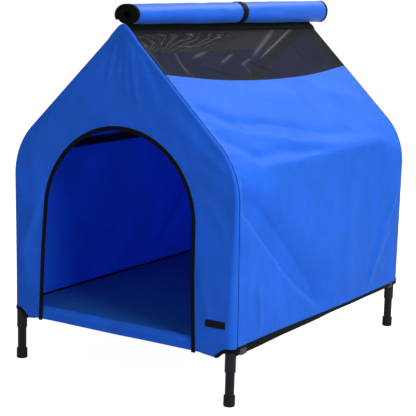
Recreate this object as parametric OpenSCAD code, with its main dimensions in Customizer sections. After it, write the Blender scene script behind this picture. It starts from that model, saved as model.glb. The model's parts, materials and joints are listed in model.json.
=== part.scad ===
// Raised pet house. A knock-down tube frame stands on four legs and carries a
// tensioned floor and a fabric cover with an arched door, two mesh roof windows
// and a rolled roof flap that is tied along the ridge.
// Millimetres, +Z up, door towards -Y. The origin lies on the ground, in the
// middle of the bounding box.

/* [Frame] */
// Distance between leg centres across the door
frame_w = 620; // [520:10:760]
// Distance between leg centres from front to back
frame_d = 870; // [700:10:1100]
// Height of the base rail centres
rail_h = 135; // [120:1:180]
// Height where the centre lines of wall and rafter would meet
eave_h = 540; // [500:5:640]
// Height of the ridge rail centre
ridge_h = 840; // [780:5:940]
// Centre line radius of the eave bend
bend_r = 160; // [90:5:180]
// Outside diameter of every tube
tube_d = 22; // [18:0.5:24]
// Wall of every tube
tube_wall = 1.2; // [0.8:0.1:2]

/* [Plastic joints and feet] */
// Radial wall of a plastic socket round its tube
socket_wall = 2; // [1.5:0.1:3]
// Radial room between a tube and its socket
socket_fit = 0.05; // [0.02:0.01:0.1]
// Distance from a joint's centre to the mouth of a rail socket
socket_len = 40; // [34:1:60]
// Length of leg tube that shows between foot cap and corner socket
leg_show = 56; // [40:1:80]
// Distance from the rail centre to the top of the post socket
post_socket = 40; // [34:1:60]
// Height of a foot cap
cap_h = 25; // [18:1:36]
// Thickness of a foot cap under the leg
cap_floor = 3; // [2:0.5:6]
// Radial wall of a foot cap
cap_wall = 2.7; // [2:0.1:4]
// Rounding of a foot cap's lower edge
cap_round = 2.5; // [1:0.5:2.5]
// Angle that an eave tee covers on the bent tube
tee_angle = 15; // [10:1:20]

/* [Fabric] */
// Thickness of the cover cloth with its hem folds
cover_t = 1.7; // [1:0.1:2.5]
// Room between the plastic sockets and the cover
cover_gap = 0.3; // [0.2:0.1:1]
// Thickness of the floor cloth
floor_t = 1.5; // [1:0.1:2.5]
// Room between two cloths, or a cloth and its tube
cloth_gap = 0.2; // [0.2:0.05:0.4]
// Thickness of tape, binding and webbing
tape_t = 1.2; // [0.8:0.1:1.6]
// How far the front and rear lower edges hang below the rail centres
front_drop = 18; // [16:1:23]
// Height of the side cloth's lower edge above the rail centre at the front
side_rise_front = 4; // [1:1:10]
// The same at the rear
side_rise_rear = -1; // [-3:1:10]
// How far the side hem tape hangs below the rail centre at the front
side_drop_front = 15; // [11:1:19]
// The same at the rear
side_drop_rear = 9; // [8:1:19]
// How far the cover's edge over a leg lies below the rail centre
notch_drop = 7; // [3:1:11]
// How far a leg notch reaches in from the leg's centre
notch_in = 42; // [30:1:60]
// How far the front hem dips beside a leg notch
notch_dip = 6; // [0:1:10]
// Length over which the hem slopes down into that dip
dip_len = 60; // [30:5:120]
// Width of the tape round a leg notch
notch_tape_w = 7; // [5:1:10]

/* [Doorway] */
// Height of the arch's spring line
door_spring = 400; // [330:5:430]
// Height of the arch above its spring line, over the binding
door_rise = 220; // [150:5:240]
// Half width at the spring line, over the binding
door_half = 222; // [150:1:225]
// How much wider each side of the doorway is at the bottom
door_flare = 11; // [0:1:14]
// How far the doorway's foot sits left of the middle
door_shift = 10; // [0:1:22]
// Width of the binding round the doorway
binding_w = 11; // [6:1:16]

/* [Roof windows and ridge] */
// Distance down the right slope to the mesh window's lower edge at the front
mesh_front = 150; // [120:5:220]
// The same at the rear
mesh_rear = 168; // [120:5:220]
// How far the right window's lower edge bows down between them
mesh_bow = 28; // [0:1:40]
// Distance down the left slope to its smaller window's lower edge at the front
mesh_left_front = 88; // [60:2:220]
// The same at the rear
mesh_left_rear = 120; // [60:2:220]
// Thickness of the mesh
mesh_t = 0.8; // [0.5:0.1:1]
// Distance down the slope to the lower edge of the ridge band
band_drop = 22; // [16:1:40]

/* [Roof flap] */
// Half width of the rolled flap at the front
roll_a = 34; // [28:1:38]
// Half height of the rolled flap at the front
roll_b = 24; // [20:1:28]
// Half width at the rear, where the roll is pressed to an upright oval
roll_a_rear = 26; // [25:1:36]
// Half height at the rear
roll_b_rear = 30; // [22:1:31]
// How far the rear end of the roll lies right of the ridge
roll_lean = 10; // [0:1:12]
// Turns in the roll
roll_turns = 3.4; // [1.5:0.1:3.6]
// Distance that the roll closes in with each turn
roll_pitch = 5; // [4:0.5:5]
// Thickness of the doubled flap cloth
flap_t = 1.6; // [1:0.1:2.5]
// Distance from the cover's front to the roll's front end
roll_setback = 8; // [0:1:30]
// How far the roll reaches past the cover's rear
roll_overhang = 60; // [20:5:90]
// How far the neck's sewn edge lies above the band's lower edge
seam_in = 1.5; // [1:0.5:6]
// Distance of the tie strap behind the middle of the frame
tie_back = 45; // [-200:5:200]
// Width of the tie strap
tie_w = 24; // [10:1:30]
// Room between the rolled flap and its tie strap
tie_gap = 0.9; // [0.8:0.1:2]

/* [Corner tabs and patch] */
// Length of a corner tab along the hem
tab_len = 30; // [20:1:40]
// Height of a corner tab
tab_h = 15; // [10:1:18]
// Distance from a leg's centre to the tab's near end
tab_from_leg = 14; // [14:1:40]
// Width of the bare patch
patch_w = 53; // [30:1:70]
// Height of the bare patch
patch_h = 17.5; // [10:0.5:30]
// Distance from the right leg's centre to the middle of the patch
patch_in = 35; // [33:1:44]
// Height of the middle of the patch above the rail centre
patch_up = 56; // [35:1:105]

/* [Hidden] */

// Round surfaces
round_fn = 48;
// How far a cutting shape runs past the face that it cuts
over = 1;

// Tubes and sockets
tube_r = tube_d / 2;
bore_r = tube_r + socket_fit;
socket_r = tube_r + socket_wall;
// The rafter's spigot is slim enough to enter the start of the bend
spigot_len = 12;
spigot_fit = 0.7;
spigot_r = tube_r - tube_wall - spigot_fit;
// From the centre of a joint to the ends of the tubes in it
core_wall = 3;
core = tube_r + core_wall;
// From the mouth of a socket to the cut in the floor cloth
socket_room = 4;
leg_x = frame_w / 2;
sleeve_z = cap_h + leg_show;

// Edges of the cloth
front_hem = rail_h - front_drop;
side_hem_front = rail_h + side_rise_front;
side_hem_rear = rail_h + side_rise_rear;
side_tape_front = rail_h - side_drop_front;
side_tape_rear = rail_h - side_drop_rear;
notch_top = rail_h - notch_drop;
patch_z = rail_h + patch_up;

// Roof lines. The pitch is measured from the level.
pitch = atan((ridge_h - eave_h) / leg_x);
turn = 90 - pitch;
bend_tan = bend_r * tan(turn / 2);
bend_x = leg_x - bend_r;
bend_z = eave_h - bend_tan;
slope_len = leg_x / cos(pitch) - bend_tan;
tee_x = bend_x + bend_r * cos(turn / 2);
tee_z = bend_z + bend_r * sin(turn / 2);

// Distances outwards from the tubes' centre lines to the layers of cloth
cover_in = socket_r + cover_gap;
cover_out = cover_in + cover_t;
mesh_in = cover_in + cloth_gap;
band_in = mesh_in + mesh_t + cloth_gap;
band_out = band_in + tape_t;
panel_edge = cover_in - cloth_gap;
bend_len = (bend_r + cover_out) * turn * PI / 180;

// Folds of the slack cloth. Each is a soft ridge between two points of its
// panel, with its height and its width. On a side panel the points are the
// share of the depth and the distance up the cloth from the foot of the bend.
// On the front and the rear they are x and z.
side_folds = [
    [[0.03, -25], [0.40, -290], 6, 30],
    [[0.30, -60], [0.72, -250], 4, 42],
    [[0.62, -90], [0.95, -300], 5, 34],
    [[0.04, 190], [0.52, 120], 6, 30],
    [[0.02, 60], [0.42, 190], 5, 32],
    [[0.50, 150], [0.97, 60], 5, 34]
];
front_folds = [
    [[-12, ridge_h - 30], [-40, ridge_h - 150], 5, 15],
    [[22, ridge_h - 30], [58, ridge_h - 165], 5, 17],
    [[-leg_x + 18, 400], [-leg_x + 48, 180], 5, 16],
    [[leg_x - 30, 480], [leg_x - 62, 300], 4, 18],
    [[150, 650], [245, 545], 4, 20]
];
rear_folds = [
    [[-20, ridge_h - 40], [-90, ridge_h - 260], 5, 24],
    [[200, 520], [60, 250], 6, 40],
    [[-230, 480], [-120, 200], 6, 38]
];

// Distance from a panel's ends, and from its long edges, over which folds fade
fade_ends = 60;
fade_edges = 40;
// The same as shares of the front's width from door to edge, and of the rear's
// width and height
front_fade = [0.3, 0.25];
rear_fade = [0.12, 0.2, 0.3];

// Rows and columns of points on the folded panels
side_rows = [6, 5, 7];
side_cols = 26;
front_steps = 36;
front_cols = 9;
rear_rows = [7, 5, 9, 3];
rear_cols = 18;

function mix(a, b, t) = a + (b - a) * t;
function clamp01(t) = max(0, min(1, t));
// Rises smoothly from 0 at an edge to 1 at the given distance from it
function ease(d, width) = let (t = clamp01(d / width)) t * t * (3 - 2 * t);
function along(p, a, b) = clamp01(((p - a) * (b - a)) / ((b - a) * (b - a)));
function fold(p, f) = f[2] * exp(-pow(norm(p - mix(f[0], f[1], along(p, f[0], f[1]))) / f[3], 2));
function folds(p, list, i = 0) = i == len(list) ? 0 : max(fold(p, list[i]), folds(p, list, i + 1));

// Roof plane: s runs down the right slope from over the ridge tube, n outwards.
// Both give a point [x, z].
function roof(s, n) = [s * cos(pitch) + n * sin(pitch), ridge_h - s * sin(pitch) + n * cos(pitch)];

// Right half of the frame's outline, moved outwards by off: below 0 the wall in
// millimetres, 0 to 1 the bend, 1 to 2 the slope, 2 to 3 the rounding at the ridge
function outline(q, off) =
    q < 0 ? [leg_x + off, bend_z + q] :
    q < 1 ? [bend_x, bend_z] + (bend_r + off) * [cos(turn * q), sin(turn * q)] :
    q < 2 ? roof(slope_len * (2 - q), off) :
    [0, ridge_h] + off * [cos(turn + pitch * (q - 2)), sin(turn + pitch * (q - 2))];

// Closed sheet between an outer and an inner grid of points of the same size
function sheet_points(outer, inner) = concat([for (r = outer) each r], [for (r = inner) each r]);
function sheet_faces(nr, nc) = let (k = nr * nc) concat(
    [for (i = [0:nr - 2], j = [0:nc - 2]) let (a = i * nc + j, b = a + nc)
        each [[a, b, a + 1], [a + 1, b, b + 1]]],
    [for (i = [0:nr - 2], j = [0:nc - 2]) let (a = k + i * nc + j, b = a + nc)
        each [[a, a + 1, b], [a + 1, b + 1, b]]],
    [for (j = [0:nc - 2], i = [0, nr - 1]) let (a = i * nc + j, b = a + 1)
        each i == 0 ? [[a, b, k + b], [a, k + b, k + a]] : [[b, a, k + a], [b, k + a, k + b]]],
    [for (i = [0:nr - 2], j = [0, nc - 1]) let (a = i * nc + j, b = a + nc)
        each j == 0 ? [[b, a, k + a], [b, k + a, k + b]] : [[a, b, k + b], [a, k + b, k + a]]]
);

// Side cloth: wall, bend and lower roof up to the mesh window
function side_hem(v) = mix(side_hem_front, side_hem_rear, v);
function side_tape(v) = mix(side_tape_front, side_tape_rear, v);
function mesh_edge(v, right) =
    right ? mix(mesh_front, mesh_rear, v) + 4 * mesh_bow * v * (1 - v) :
    mix(mesh_left_front, mesh_left_rear, v);
function side_q(i, v, right) =
    i < side_rows[0] ? (side_hem(v) - bend_z) * (1 - i / side_rows[0]) :
    i < side_rows[0] + side_rows[1] ? (i - side_rows[0]) / side_rows[1] :
    mix(1, 2 - mesh_edge(v, right) / slope_len, (i - side_rows[0] - side_rows[1]) / side_rows[2]);
function path_mm(q) = q < 0 ? q : q < 1 ? q * bend_len : bend_len + (q - 1) * slope_len;
// The share of the depth becomes millimetres here, so that a fold's width is even
function side_mm(p) = [p[0] * frame_d, p[1]];
side_folds_mm = [for (f = side_folds) [side_mm(f[0]), side_mm(f[1]), f[2], f[3]]];
function side_fold(q, v, right) =
    let (p = path_mm(q), top = path_mm(2 - mesh_edge(v, right) / slope_len), foot = side_hem(v) - bend_z)
    folds(side_mm([v, p]), side_folds_mm)
    * ease(min(v, 1 - v) * frame_d, fade_ends) * ease(min(top - p, p - foot), fade_edges);

// Lower edge of the front and the rear, with a notch over each leg
function lower_edge(x) = lookup(abs(x), [
    [0, front_hem], [leg_x - notch_in - dip_len, front_hem], [leg_x - notch_in, front_hem - notch_dip],
    [leg_x - notch_in / 2, notch_top], [leg_x + cover_out, notch_top]
]);

// Outline of the doorway over its binding. The foot is shifted left. The shift
// grows from the top of the arch to its full value some way below the spring line.
shift_full = 100;
function door_mid(z) = -door_shift * clamp01((door_spring + door_rise - z) / (door_rise + shift_full));
function door_jamb(z) = door_half + door_flare * (door_spring - z) / (door_spring - front_hem);
// side is -1 or 1, k runs from 0 at the top of the arch to 1 at the foot
jamb_from = 0.6;
function door_point(side, k, grow) =
    k < jamb_from ?
        let (a = 90 * (1 - k / jamb_from), z = door_spring + (door_rise + grow) * sin(a))
        [door_mid(z) + side * (door_half + grow) * cos(a), z] :
        let (z = mix(door_spring, front_hem, (k - jamb_from) / (1 - jamb_from)))
        [door_mid(z) + side * (door_jamb(z) + grow), z];
// Outer edge of the front, matched to the doorway's points
function front_edge(side, k) =
    let (q = k < jamb_from ? 3 - 3 * k / jamb_from : (notch_top - bend_z) * (k - jamb_from) / (1 - jamb_from),
         p = outline(q, panel_edge))
    [side * p[0], p[1]];
// From here down, and from this share of the way out from the doorway, the points
// bend over to meet the lower edge
foot_from = 0.86;
foot_out = 0.3;
function front_xz(side, k, t) =
    let (a = door_point(side, k, cloth_gap), b = front_edge(side, k), p = mix(a, b, t),
         near_foot = ease(k - foot_from, 1 - foot_from))
    [p[0], p[1] + near_foot * ease(t, foot_out) * (lower_edge(p[0]) - mix(a[1], b[1], t))];
function front_side(i) = i < front_steps / 2 ? -1 : 1;
function front_k(i) = abs(2 * i / front_steps - 1);
function front_fold(p, t) =
    folds(p, front_folds) * ease(t, front_fade[0]) * ease(1 - t, front_fade[1])
    * ease(p[1] - patch_z - patch_h / 2, fade_ends);
front_grid = [for (i = [0:front_steps]) [for (j = [0:front_cols])
    let (t = j / front_cols, p = front_xz(front_side(i), front_k(i), t)) [p[0], p[1], front_fold(p, t)]]];
front_bulge = max([for (r = front_grid) for (p = r) p[2]]);

// Rear cloth: level rows up the outline, from the hem to just short of the top
function rear_q(i) =
    i < rear_rows[0] ? (notch_top - bend_z) * (1 - i / rear_rows[0]) :
    i < rear_rows[0] + rear_rows[1] ? (i - rear_rows[0]) / rear_rows[1] :
    i < rear_rows[0] + rear_rows[1] + rear_rows[2] ? 1 + (i - rear_rows[0] - rear_rows[1]) / rear_rows[2] :
    2 + 0.8 * (i - rear_rows[0] - rear_rows[1] - rear_rows[2]) / rear_rows[3];
rear_n = rear_rows[0] + rear_rows[1] + rear_rows[2] + rear_rows[3];
function rear_xz(i, t) =
    let (e = outline(rear_q(i), panel_edge), x = e[0] * (2 * t - 1))
    [x, i == 0 ? lower_edge(x) : e[1]];
function rear_fold(p, i, t) =
    folds(p, rear_folds) * ease(min(t, 1 - t), rear_fade[0])
    * ease(i / rear_n, rear_fade[1]) * ease(1 - i / rear_n, rear_fade[2]);

// Front to back
cover_front_gap = cover_out + front_bulge;
roll_rear_gap = cover_out + roll_overhang;
y_f = -(frame_d + roll_rear_gap - cover_front_gap) / 2;
y_r = y_f + frame_d;
y_face = y_f - cover_out;
y_back = y_r + cover_out;
function side_y(v) = mix(y_face, y_back, v);

// Roof flap: the hinge line is the neck's sewn edge on the right slope
seam_s = band_drop - seam_in;
neck_in = band_out + cover_gap;
roll_y0 = y_face + roll_setback;
roll_y1 = y_back + roll_overhang;
roll_foot = ridge_h + band_out + cover_gap;
// The roll's section at a share of its length: half width, half height, shift to
// the right and height of the middle. Its underside stays on the ridge band.
function roll_oval(t) = let (b = mix(roll_b, roll_b_rear, t))
    [mix(roll_a, roll_a_rear, t), b, roll_lean * t, roll_foot + b];
tail_angle = 212;
turn_steps = 26;
roll_steps = round(turn_steps * roll_turns);
roll_parts = 2;
// Each turn keeps its size for most of its way and then steps in by one pitch,
// between the underside and the tail; the tail flares out at its free end
step_from = 0.84;
tail_flare = 2;
tail_steps = 3;
function roll_in(i) =
    let (t = roll_turns * i / roll_steps, part = t - floor(t))
    roll_pitch * (floor(t) + max(0, part - step_from) / (1 - step_from));
function roll_flare(i) = tail_flare * max(0, 1 - i / tail_steps);
function roll_radius(oval, i, depth) =
    [oval[0] - roll_in(i) + roll_flare(i) - depth, oval[1] - roll_in(i) * oval[1] / oval[0] - depth];
function roll_point(t, i, depth) =
    let (oval = roll_oval(t), r = roll_radius(oval, i, depth),
         a = tail_angle - 360 * roll_turns * i / roll_steps)
    [oval[2] + r[0] * cos(a), mix(roll_y0, roll_y1, t), oval[3] + r[1] * sin(a)];
function roll_grid(depth) =
    [for (k = [0:roll_parts]) [for (i = [0:roll_steps]) roll_point(k / roll_parts, i, depth)]];
// Least room between one turn and the next, measured on the outline's points
roll_gap = min([for (t = [0, 1], i = [0:roll_steps - turn_steps - 2])
    for (j = [i + turn_steps - 2:min(i + turn_steps + 2, roll_steps)])
        norm(roll_point(t, i, flap_t) - roll_point(t, j, 0))]);
echo(roll_turn_gap = roll_gap);

// The neck runs up the slope until its upper corner comes this close to the roll
function outside_oval(p, oval) =
    norm([(p[0] - oval[2]) / (oval[0] + cloth_gap), (p[1] - oval[3]) / (oval[1] + cloth_gap)]) > 1;
neck_step = 0.25;
function neck_end(s) =
    let (p = roof(s, neck_in + tape_t))
    outside_oval(p, roll_oval(0)) && outside_oval(p, roll_oval(1)) || s > seam_s - neck_step ?
        s : neck_end(s + neck_step);

// Tie strap, close round the upper half of the roll
tie_y = (y_f + y_r) / 2 + tie_back;
tie_oval = roll_oval((tie_y - roll_y0) / (roll_y1 - roll_y0));

module tube(len) {
    difference() {
        cylinder(r = tube_r, h = len, $fn = round_fn);
        translate([0, 0, -over]) cylinder(r = tube_r - tube_wall, h = len + 2 * over, $fn = round_fn);
    }
}

module solid_rod(r, len) {
    cylinder(r = r, h = len, $fn = round_fn);
}

// Places what is drawn for the right front corner, with -X and +Y inwards
module corner(right, front) {
    translate([right ? leg_x : -leg_x, front ? y_f : y_r, 0])
        mirror([right ? 0 : 1, 0, 0]) mirror([0, front ? 0 : 1, 0]) children();
}

// Places what is drawn on the right slope: X down the slope, Z outwards
module on_slope() {
    translate([0, 0, ridge_h]) rotate([0, pitch, 0]) children();
}

// Stands a shape drawn in x and z upright, from y0 to y1
module upright(y0, y1) {
    translate([0, y1, 0]) rotate([90, 0, 0]) linear_extrude(y1 - y0) children();
}

module foot_cap(right, front) {
    cap_r = bore_r + cap_wall;
    color("#232427") corner(right, front) difference() {
        rotate_extrude($fn = round_fn) {
            translate([0, cap_round]) square([cap_r, cap_h - cap_round]);
            square([cap_r - cap_round, cap_h]);
            intersection() {
                translate([cap_r - cap_round, cap_round]) circle(r = cap_round, $fn = round_fn);
                square([cap_r, cap_h]);
            }
        }
        translate([0, 0, cap_floor]) solid_rod(bore_r, cap_h);
    }
}

module leg(right, front) {
    color("#242529") corner(right, front)
        translate([0, 0, cap_floor]) tube(rail_h - core - cap_floor);
}

module corner_socket(right, front) {
    color("#27272d") corner(right, front) difference() {
        union() {
            translate([0, 0, sleeve_z]) solid_rod(socket_r, rail_h + post_socket - sleeve_z);
            translate([0, 0, rail_h]) rotate([0, -90, 0]) solid_rod(socket_r, socket_len);
            translate([0, 0, rail_h]) rotate([-90, 0, 0]) solid_rod(socket_r, socket_len);
        }
        translate([0, 0, sleeve_z - over]) solid_rod(bore_r, rail_h - core - sleeve_z + over);
        translate([0, 0, rail_h + core]) solid_rod(bore_r, post_socket);
        translate([-core, 0, rail_h]) rotate([0, -90, 0]) solid_rod(bore_r, socket_len);
        translate([0, core, rail_h]) rotate([-90, 0, 0]) solid_rod(bore_r, socket_len);
    }
}

module base_cross_rail(y) {
    color("#242529") translate([-leg_x + core, y, rail_h])
        rotate([0, 90, 0]) tube(frame_w - 2 * core);
}

module long_rail(x, z, from_joint) {
    color("#242529") translate([x, y_f + from_joint, z])
        rotate([-90, 0, 0]) tube(frame_d - 2 * from_joint);
}

module hoop(right, y) {
    color("#242529") mirror([right ? 0 : 1, 0, 0]) {
        translate([leg_x, y, rail_h + core]) tube(bend_z - rail_h - core);
        translate([bend_x, y, bend_z]) rotate([90, 0, 0]) rotate_extrude(angle = turn, $fn = 4 * round_fn)
            translate([bend_r, 0]) difference() {
                circle(r = tube_r, $fn = round_fn);
                circle(r = tube_r - tube_wall, $fn = round_fn);
            }
    }
}

// Straight tube from the bend to the ridge, with a spigot that seats in the bend
module rafter(right, front) {
    len = slope_len - core - socket_fit;
    color("#242529") mirror([right ? 0 : 1, 0, 0]) on_slope()
        translate([core, front ? y_f : y_r, 0]) rotate([0, 90, 0]) {
            tube(len);
            translate([0, 0, len - spigot_len]) difference() {
                solid_rod(tube_r - tube_wall, spigot_len);
                translate([0, 0, -over]) solid_rod(spigot_r - tube_wall, spigot_len + 2 * over);
            }
            translate([0, 0, len - over]) difference() {
                solid_rod(spigot_r, spigot_len + over);
                translate([0, 0, -over]) solid_rod(spigot_r - tube_wall, spigot_len + 3 * over);
            }
        }
}

// Ring segment round the bent tube, with a socket for the eave rail
module eave_tee(right, front) {
    color("#27272d") corner(right, front) difference() {
        union() {
            tee_bend(tee_angle, socket_r);
            translate([tee_x - leg_x, 0, tee_z]) rotate([-90, 0, 0]) solid_rod(socket_r, socket_len);
        }
        tee_bend(2 * tee_angle, bore_r);
        translate([tee_x - leg_x, core, tee_z]) rotate([-90, 0, 0]) solid_rod(bore_r, socket_len);
    }
}

module tee_bend(sweep, r) {
    translate([bend_x - leg_x, 0, bend_z]) rotate([90, 0, 0]) rotate(turn / 2 - sweep / 2)
        rotate_extrude(angle = sweep, $fn = 4 * round_fn)
            translate([bend_r, 0]) circle(r = r, $fn = round_fn);
}

module ridge_connector(front) {
    color("#27272d") translate([0, front ? y_f : y_r, 0]) mirror([0, front ? 0 : 1, 0]) difference() {
        union() {
            translate([0, 0, ridge_h]) sphere(r = socket_r, $fn = round_fn);
            for (right = [0, 1]) mirror([right, 0, 0])
                on_slope() rotate([0, 90, 0]) solid_rod(socket_r, socket_len);
            translate([0, 0, ridge_h]) rotate([-90, 0, 0]) solid_rod(socket_r, socket_len);
        }
        for (right = [0, 1]) mirror([right, 0, 0])
            on_slope() translate([core, 0, 0]) rotate([0, 90, 0]) solid_rod(bore_r, socket_len);
        translate([0, core, ridge_h]) rotate([-90, 0, 0]) solid_rod(bore_r, socket_len);
    }
}

// Outer quarter of the cloth round a rail at the origin, and its hanging edge
module rail_wrap(drop) {
    r = tube_r + cloth_gap;
    intersection() {
        difference() {
            circle(r = r + floor_t, $fn = round_fn);
            circle(r = r, $fn = round_fn);
        }
        square(r + floor_t);
    }
    translate([r, -drop]) square([floor_t, drop]);
}

module floor_bed() {
    keep = socket_len + socket_room;
    top = rail_h + tube_r + cloth_gap;
    color("#12246a") {
        difference() {
            translate([-leg_x, y_f, top]) cube([frame_w, frame_d, floor_t]);
            for (x = [-1, 1], y = [y_f, y_r])
                translate([x * leg_x - keep, y - keep, top - over])
                    cube([2 * keep, 2 * keep, floor_t + 2 * over]);
        }
        for (side = [0, 1]) mirror([side, 0, 0])
            translate([leg_x, 0, rail_h]) upright(y_f + keep, y_r - keep) rail_wrap(side_drop_rear);
        translate([-leg_x + keep, y_f, rail_h]) rotate([90, 0, 90])
            linear_extrude(frame_w - 2 * keep) mirror([1, 0]) rail_wrap(front_drop);
        translate([-leg_x + keep, y_r, rail_h]) rotate([90, 0, 90])
            linear_extrude(frame_w - 2 * keep) rail_wrap(front_drop);
    }
}

module cover_front() {
    outer = [for (r = front_grid) [for (p = r) [p[0], y_face - p[2], p[1]]]];
    inner = [for (r = front_grid) [for (p = r) [p[0], y_face + cover_t - p[2], p[1]]]];
    color("#2156c8") polyhedron(sheet_points(outer, inner), sheet_faces(front_steps + 1, front_cols + 1), 12);
}

module cover_rear() {
    grid = [for (i = [0:rear_n]) [for (j = [0:rear_cols])
        let (t = 1 - j / rear_cols, p = rear_xz(i, t)) [p[0], p[1], rear_fold(p, i, t)]]];
    outer = [for (r = grid) [for (p = r) [p[0], y_back + p[2], p[1]]]];
    inner = [for (r = grid) [for (p = r) [p[0], y_back - cover_t + p[2], p[1]]]];
    color("#2156c8") polyhedron(sheet_points(outer, inner), sheet_faces(rear_n + 1, rear_cols + 1), 12);
}

module cover_side(right) {
    nr = side_rows[0] + side_rows[1] + side_rows[2];
    function side_grid(off) = [for (i = [0:nr]) [for (j = [0:side_cols])
        let (v = j / side_cols, q = side_q(i, v, right), p = outline(q, off + side_fold(q, v, right)))
            [p[0], side_y(v), p[1]]]];
    faces = sheet_faces(nr + 1, side_cols + 1);
    color("#3a78ee") mirror([right ? 0 : 1, 0, 0])
        polyhedron(sheet_points(side_grid(cover_out), side_grid(cover_in)), faces, 12);
}

module mesh_window(right) {
    steps = 24;
    color("#3a3a42") mirror([right ? 0 : 1, 0, 0]) on_slope()
        translate([0, 0, mesh_in]) linear_extrude(mesh_t) polygon(concat([[0, y_face], [0, y_back]],
            [for (i = [steps:-1:0]) [mesh_edge(i / steps, right) - cloth_gap, side_y(i / steps)]]));
}

module ridge_band() {
    n = 16;
    low = 2 - band_drop / slope_len;
    function skin(off) =
        [for (i = [0:n]) outline(i < n / 2 ? mix(low, 2, 2 * i / n) : 2 * i / n + 1, off)];
    function both(off) =
        concat(skin(off), [for (i = [n - 1:-1:0]) [-skin(off)[i][0], skin(off)[i][1]]]);
    inner = both(band_in);
    color("#1c1d20") upright(y_face, y_back)
        polygon(concat(both(band_out), [for (i = [2 * n:-1:0]) inner[i]]));
}

module door_binding() {
    n = front_steps;
    function edge(grow) = [for (i = [0:n]) door_point(i < n / 2 ? -1 : 1, abs(2 * i / n - 1), grow)];
    inner = edge(-binding_w);
    outer = edge(0);
    color("#1d2021") upright(y_face - tape_t / 2, y_face + cover_t + tape_t / 2)
        polygon(concat(outer, [for (i = [n:-1:0]) inner[i]]));
}

module side_hem_tape(right) {
    steps = 8;
    color("#1d2021") mirror([right ? 0 : 1, 0, 0]) translate([leg_x + cover_in, 0, 0])
        rotate([90, 0, 90]) linear_extrude(cover_t)
            polygon(concat([for (i = [0:steps]) [side_y(i / steps), side_hem(i / steps) - cloth_gap]],
                [for (i = [steps:-1:0]) [side_y(i / steps), side_tape(i / steps)]]));
}

module notch_binding(right, front) {
    xs = [leg_x - notch_in - notch_tape_w / 2, leg_x - notch_in, leg_x - notch_in / 2, leg_x + panel_edge];
    face = front ? y_face : y_back;
    reach = cloth_gap + tape_t;
    color("#1d2021") mirror([right ? 0 : 1, 0, 0])
        upright(front ? face - reach : face + cloth_gap, front ? face - cloth_gap : face + reach)
            polygon(concat([for (x = xs) [x, lower_edge(x)]],
                [for (i = [3:-1:0]) [xs[i], lower_edge(xs[i]) + notch_tape_w]]));
}

module blank_patch() {
    color("#2a242a")
        translate([leg_x - patch_in - patch_w / 2, y_face - cloth_gap - tape_t, patch_z - patch_h / 2])
            cube([patch_w, tape_t, patch_h]);
}

module roof_flap_roll() {
    faces = sheet_faces(roll_parts + 1, roll_steps + 1);
    color("#2560dc") polyhedron(sheet_points(roll_grid(flap_t), roll_grid(0)), faces, 12);
}

// Black neck of the flap, from its sewn edge up to the underside of the roll
module flap_neck() {
    top = neck_end(-roll_b);
    color("#1c1d20") upright(roll_y0, y_back) polygon([
        roof(top, neck_in), roof(top, neck_in + tape_t),
        roof(seam_s, neck_in + tape_t), roof(seam_s, neck_in)
    ]);
}

// Arched strap over the roll, hinged at its left end
module flap_tie() {
    n = 30;
    function arch(grow) = [for (i = [0:n]) let (a = 180 * i / n)
        [tie_oval[2] + (tie_oval[0] + grow) * cos(a), tie_oval[3] + (tie_oval[1] + grow) * sin(a)]];
    outer = arch(tie_gap + tape_t);
    inner = arch(tie_gap);
    color("#17181a") upright(tie_y - tie_w / 2, tie_y + tie_w / 2)
        polygon(concat(outer, [for (i = [n:-1:0]) inner[i]]));
}

// Flat tab on the side hem, hinged along its upper edge
module corner_tab(right, front) {
    color("#2b2c31") corner(right, front)
        translate([cover_out + cover_gap, tab_from_leg, side_hem_rear - tab_h])
            cube([tape_t, tab_len, tab_h]);
}

foot_cap(false, true);  // foot_cap_fl
foot_cap(true, true);  // foot_cap_fr
foot_cap(false, false);  // foot_cap_rl
foot_cap(true, false);  // foot_cap_rr
leg(false, true);  // leg_fl
leg(true, true);  // leg_fr
leg(false, false);  // leg_rl
leg(true, false);  // leg_rr
corner_socket(false, true);  // corner_socket_fl
corner_socket(true, true);  // corner_socket_fr
corner_socket(false, false);  // corner_socket_rl
corner_socket(true, false);  // corner_socket_rr
base_cross_rail(y_f);  // base_rail_front
base_cross_rail(y_r);  // base_rail_rear
long_rail(-leg_x, rail_h, core);  // base_rail_left
long_rail(leg_x, rail_h, core);  // base_rail_right
hoop(false, y_f);  // hoop_front_left
hoop(true, y_f);  // hoop_front_right
hoop(false, y_r);  // hoop_rear_left
hoop(true, y_r);  // hoop_rear_right
rafter(false, true);  // rafter_fl
rafter(true, true);  // rafter_fr
rafter(false, false);  // rafter_rl
rafter(true, false);  // rafter_rr
eave_tee(false, true);  // eave_tee_fl
eave_tee(true, true);  // eave_tee_fr
eave_tee(false, false);  // eave_tee_rl
eave_tee(true, false);  // eave_tee_rr
long_rail(-tee_x, tee_z, core);  // eave_rail_left
long_rail(tee_x, tee_z, core);  // eave_rail_right
ridge_connector(true);  // ridge_connector_front
ridge_connector(false);  // ridge_connector_rear
long_rail(0, ridge_h, core);  // ridge_rail
floor_bed();
cover_front();
cover_rear();
cover_side(false);  // cover_left
cover_side(true);  // cover_right
mesh_window(false);  // mesh_window_left
mesh_window(true);  // mesh_window_right
ridge_band();
door_binding();
side_hem_tape(false);  // side_hem_tape_left
side_hem_tape(true);  // side_hem_tape_right
notch_binding(false, true);  // notch_binding_fl
notch_binding(true, true);  // notch_binding_fr
notch_binding(false, false);  // notch_binding_rl
notch_binding(true, false);  // notch_binding_rr
blank_patch();
roof_flap_roll();
flap_neck();
flap_tie();
corner_tab(false, true);  // corner_tab_fl
corner_tab(true, true);  // corner_tab_fr
corner_tab(false, false);  // corner_tab_rl
corner_tab(true, false);  // corner_tab_rr
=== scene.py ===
"""Raised pet house: cloth, mesh, tapes and finishes on the tube frame, and a plain studio.

Lengths are metres, +Z is up and the doorway looks along -Y.
"""

import json
import math

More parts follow.
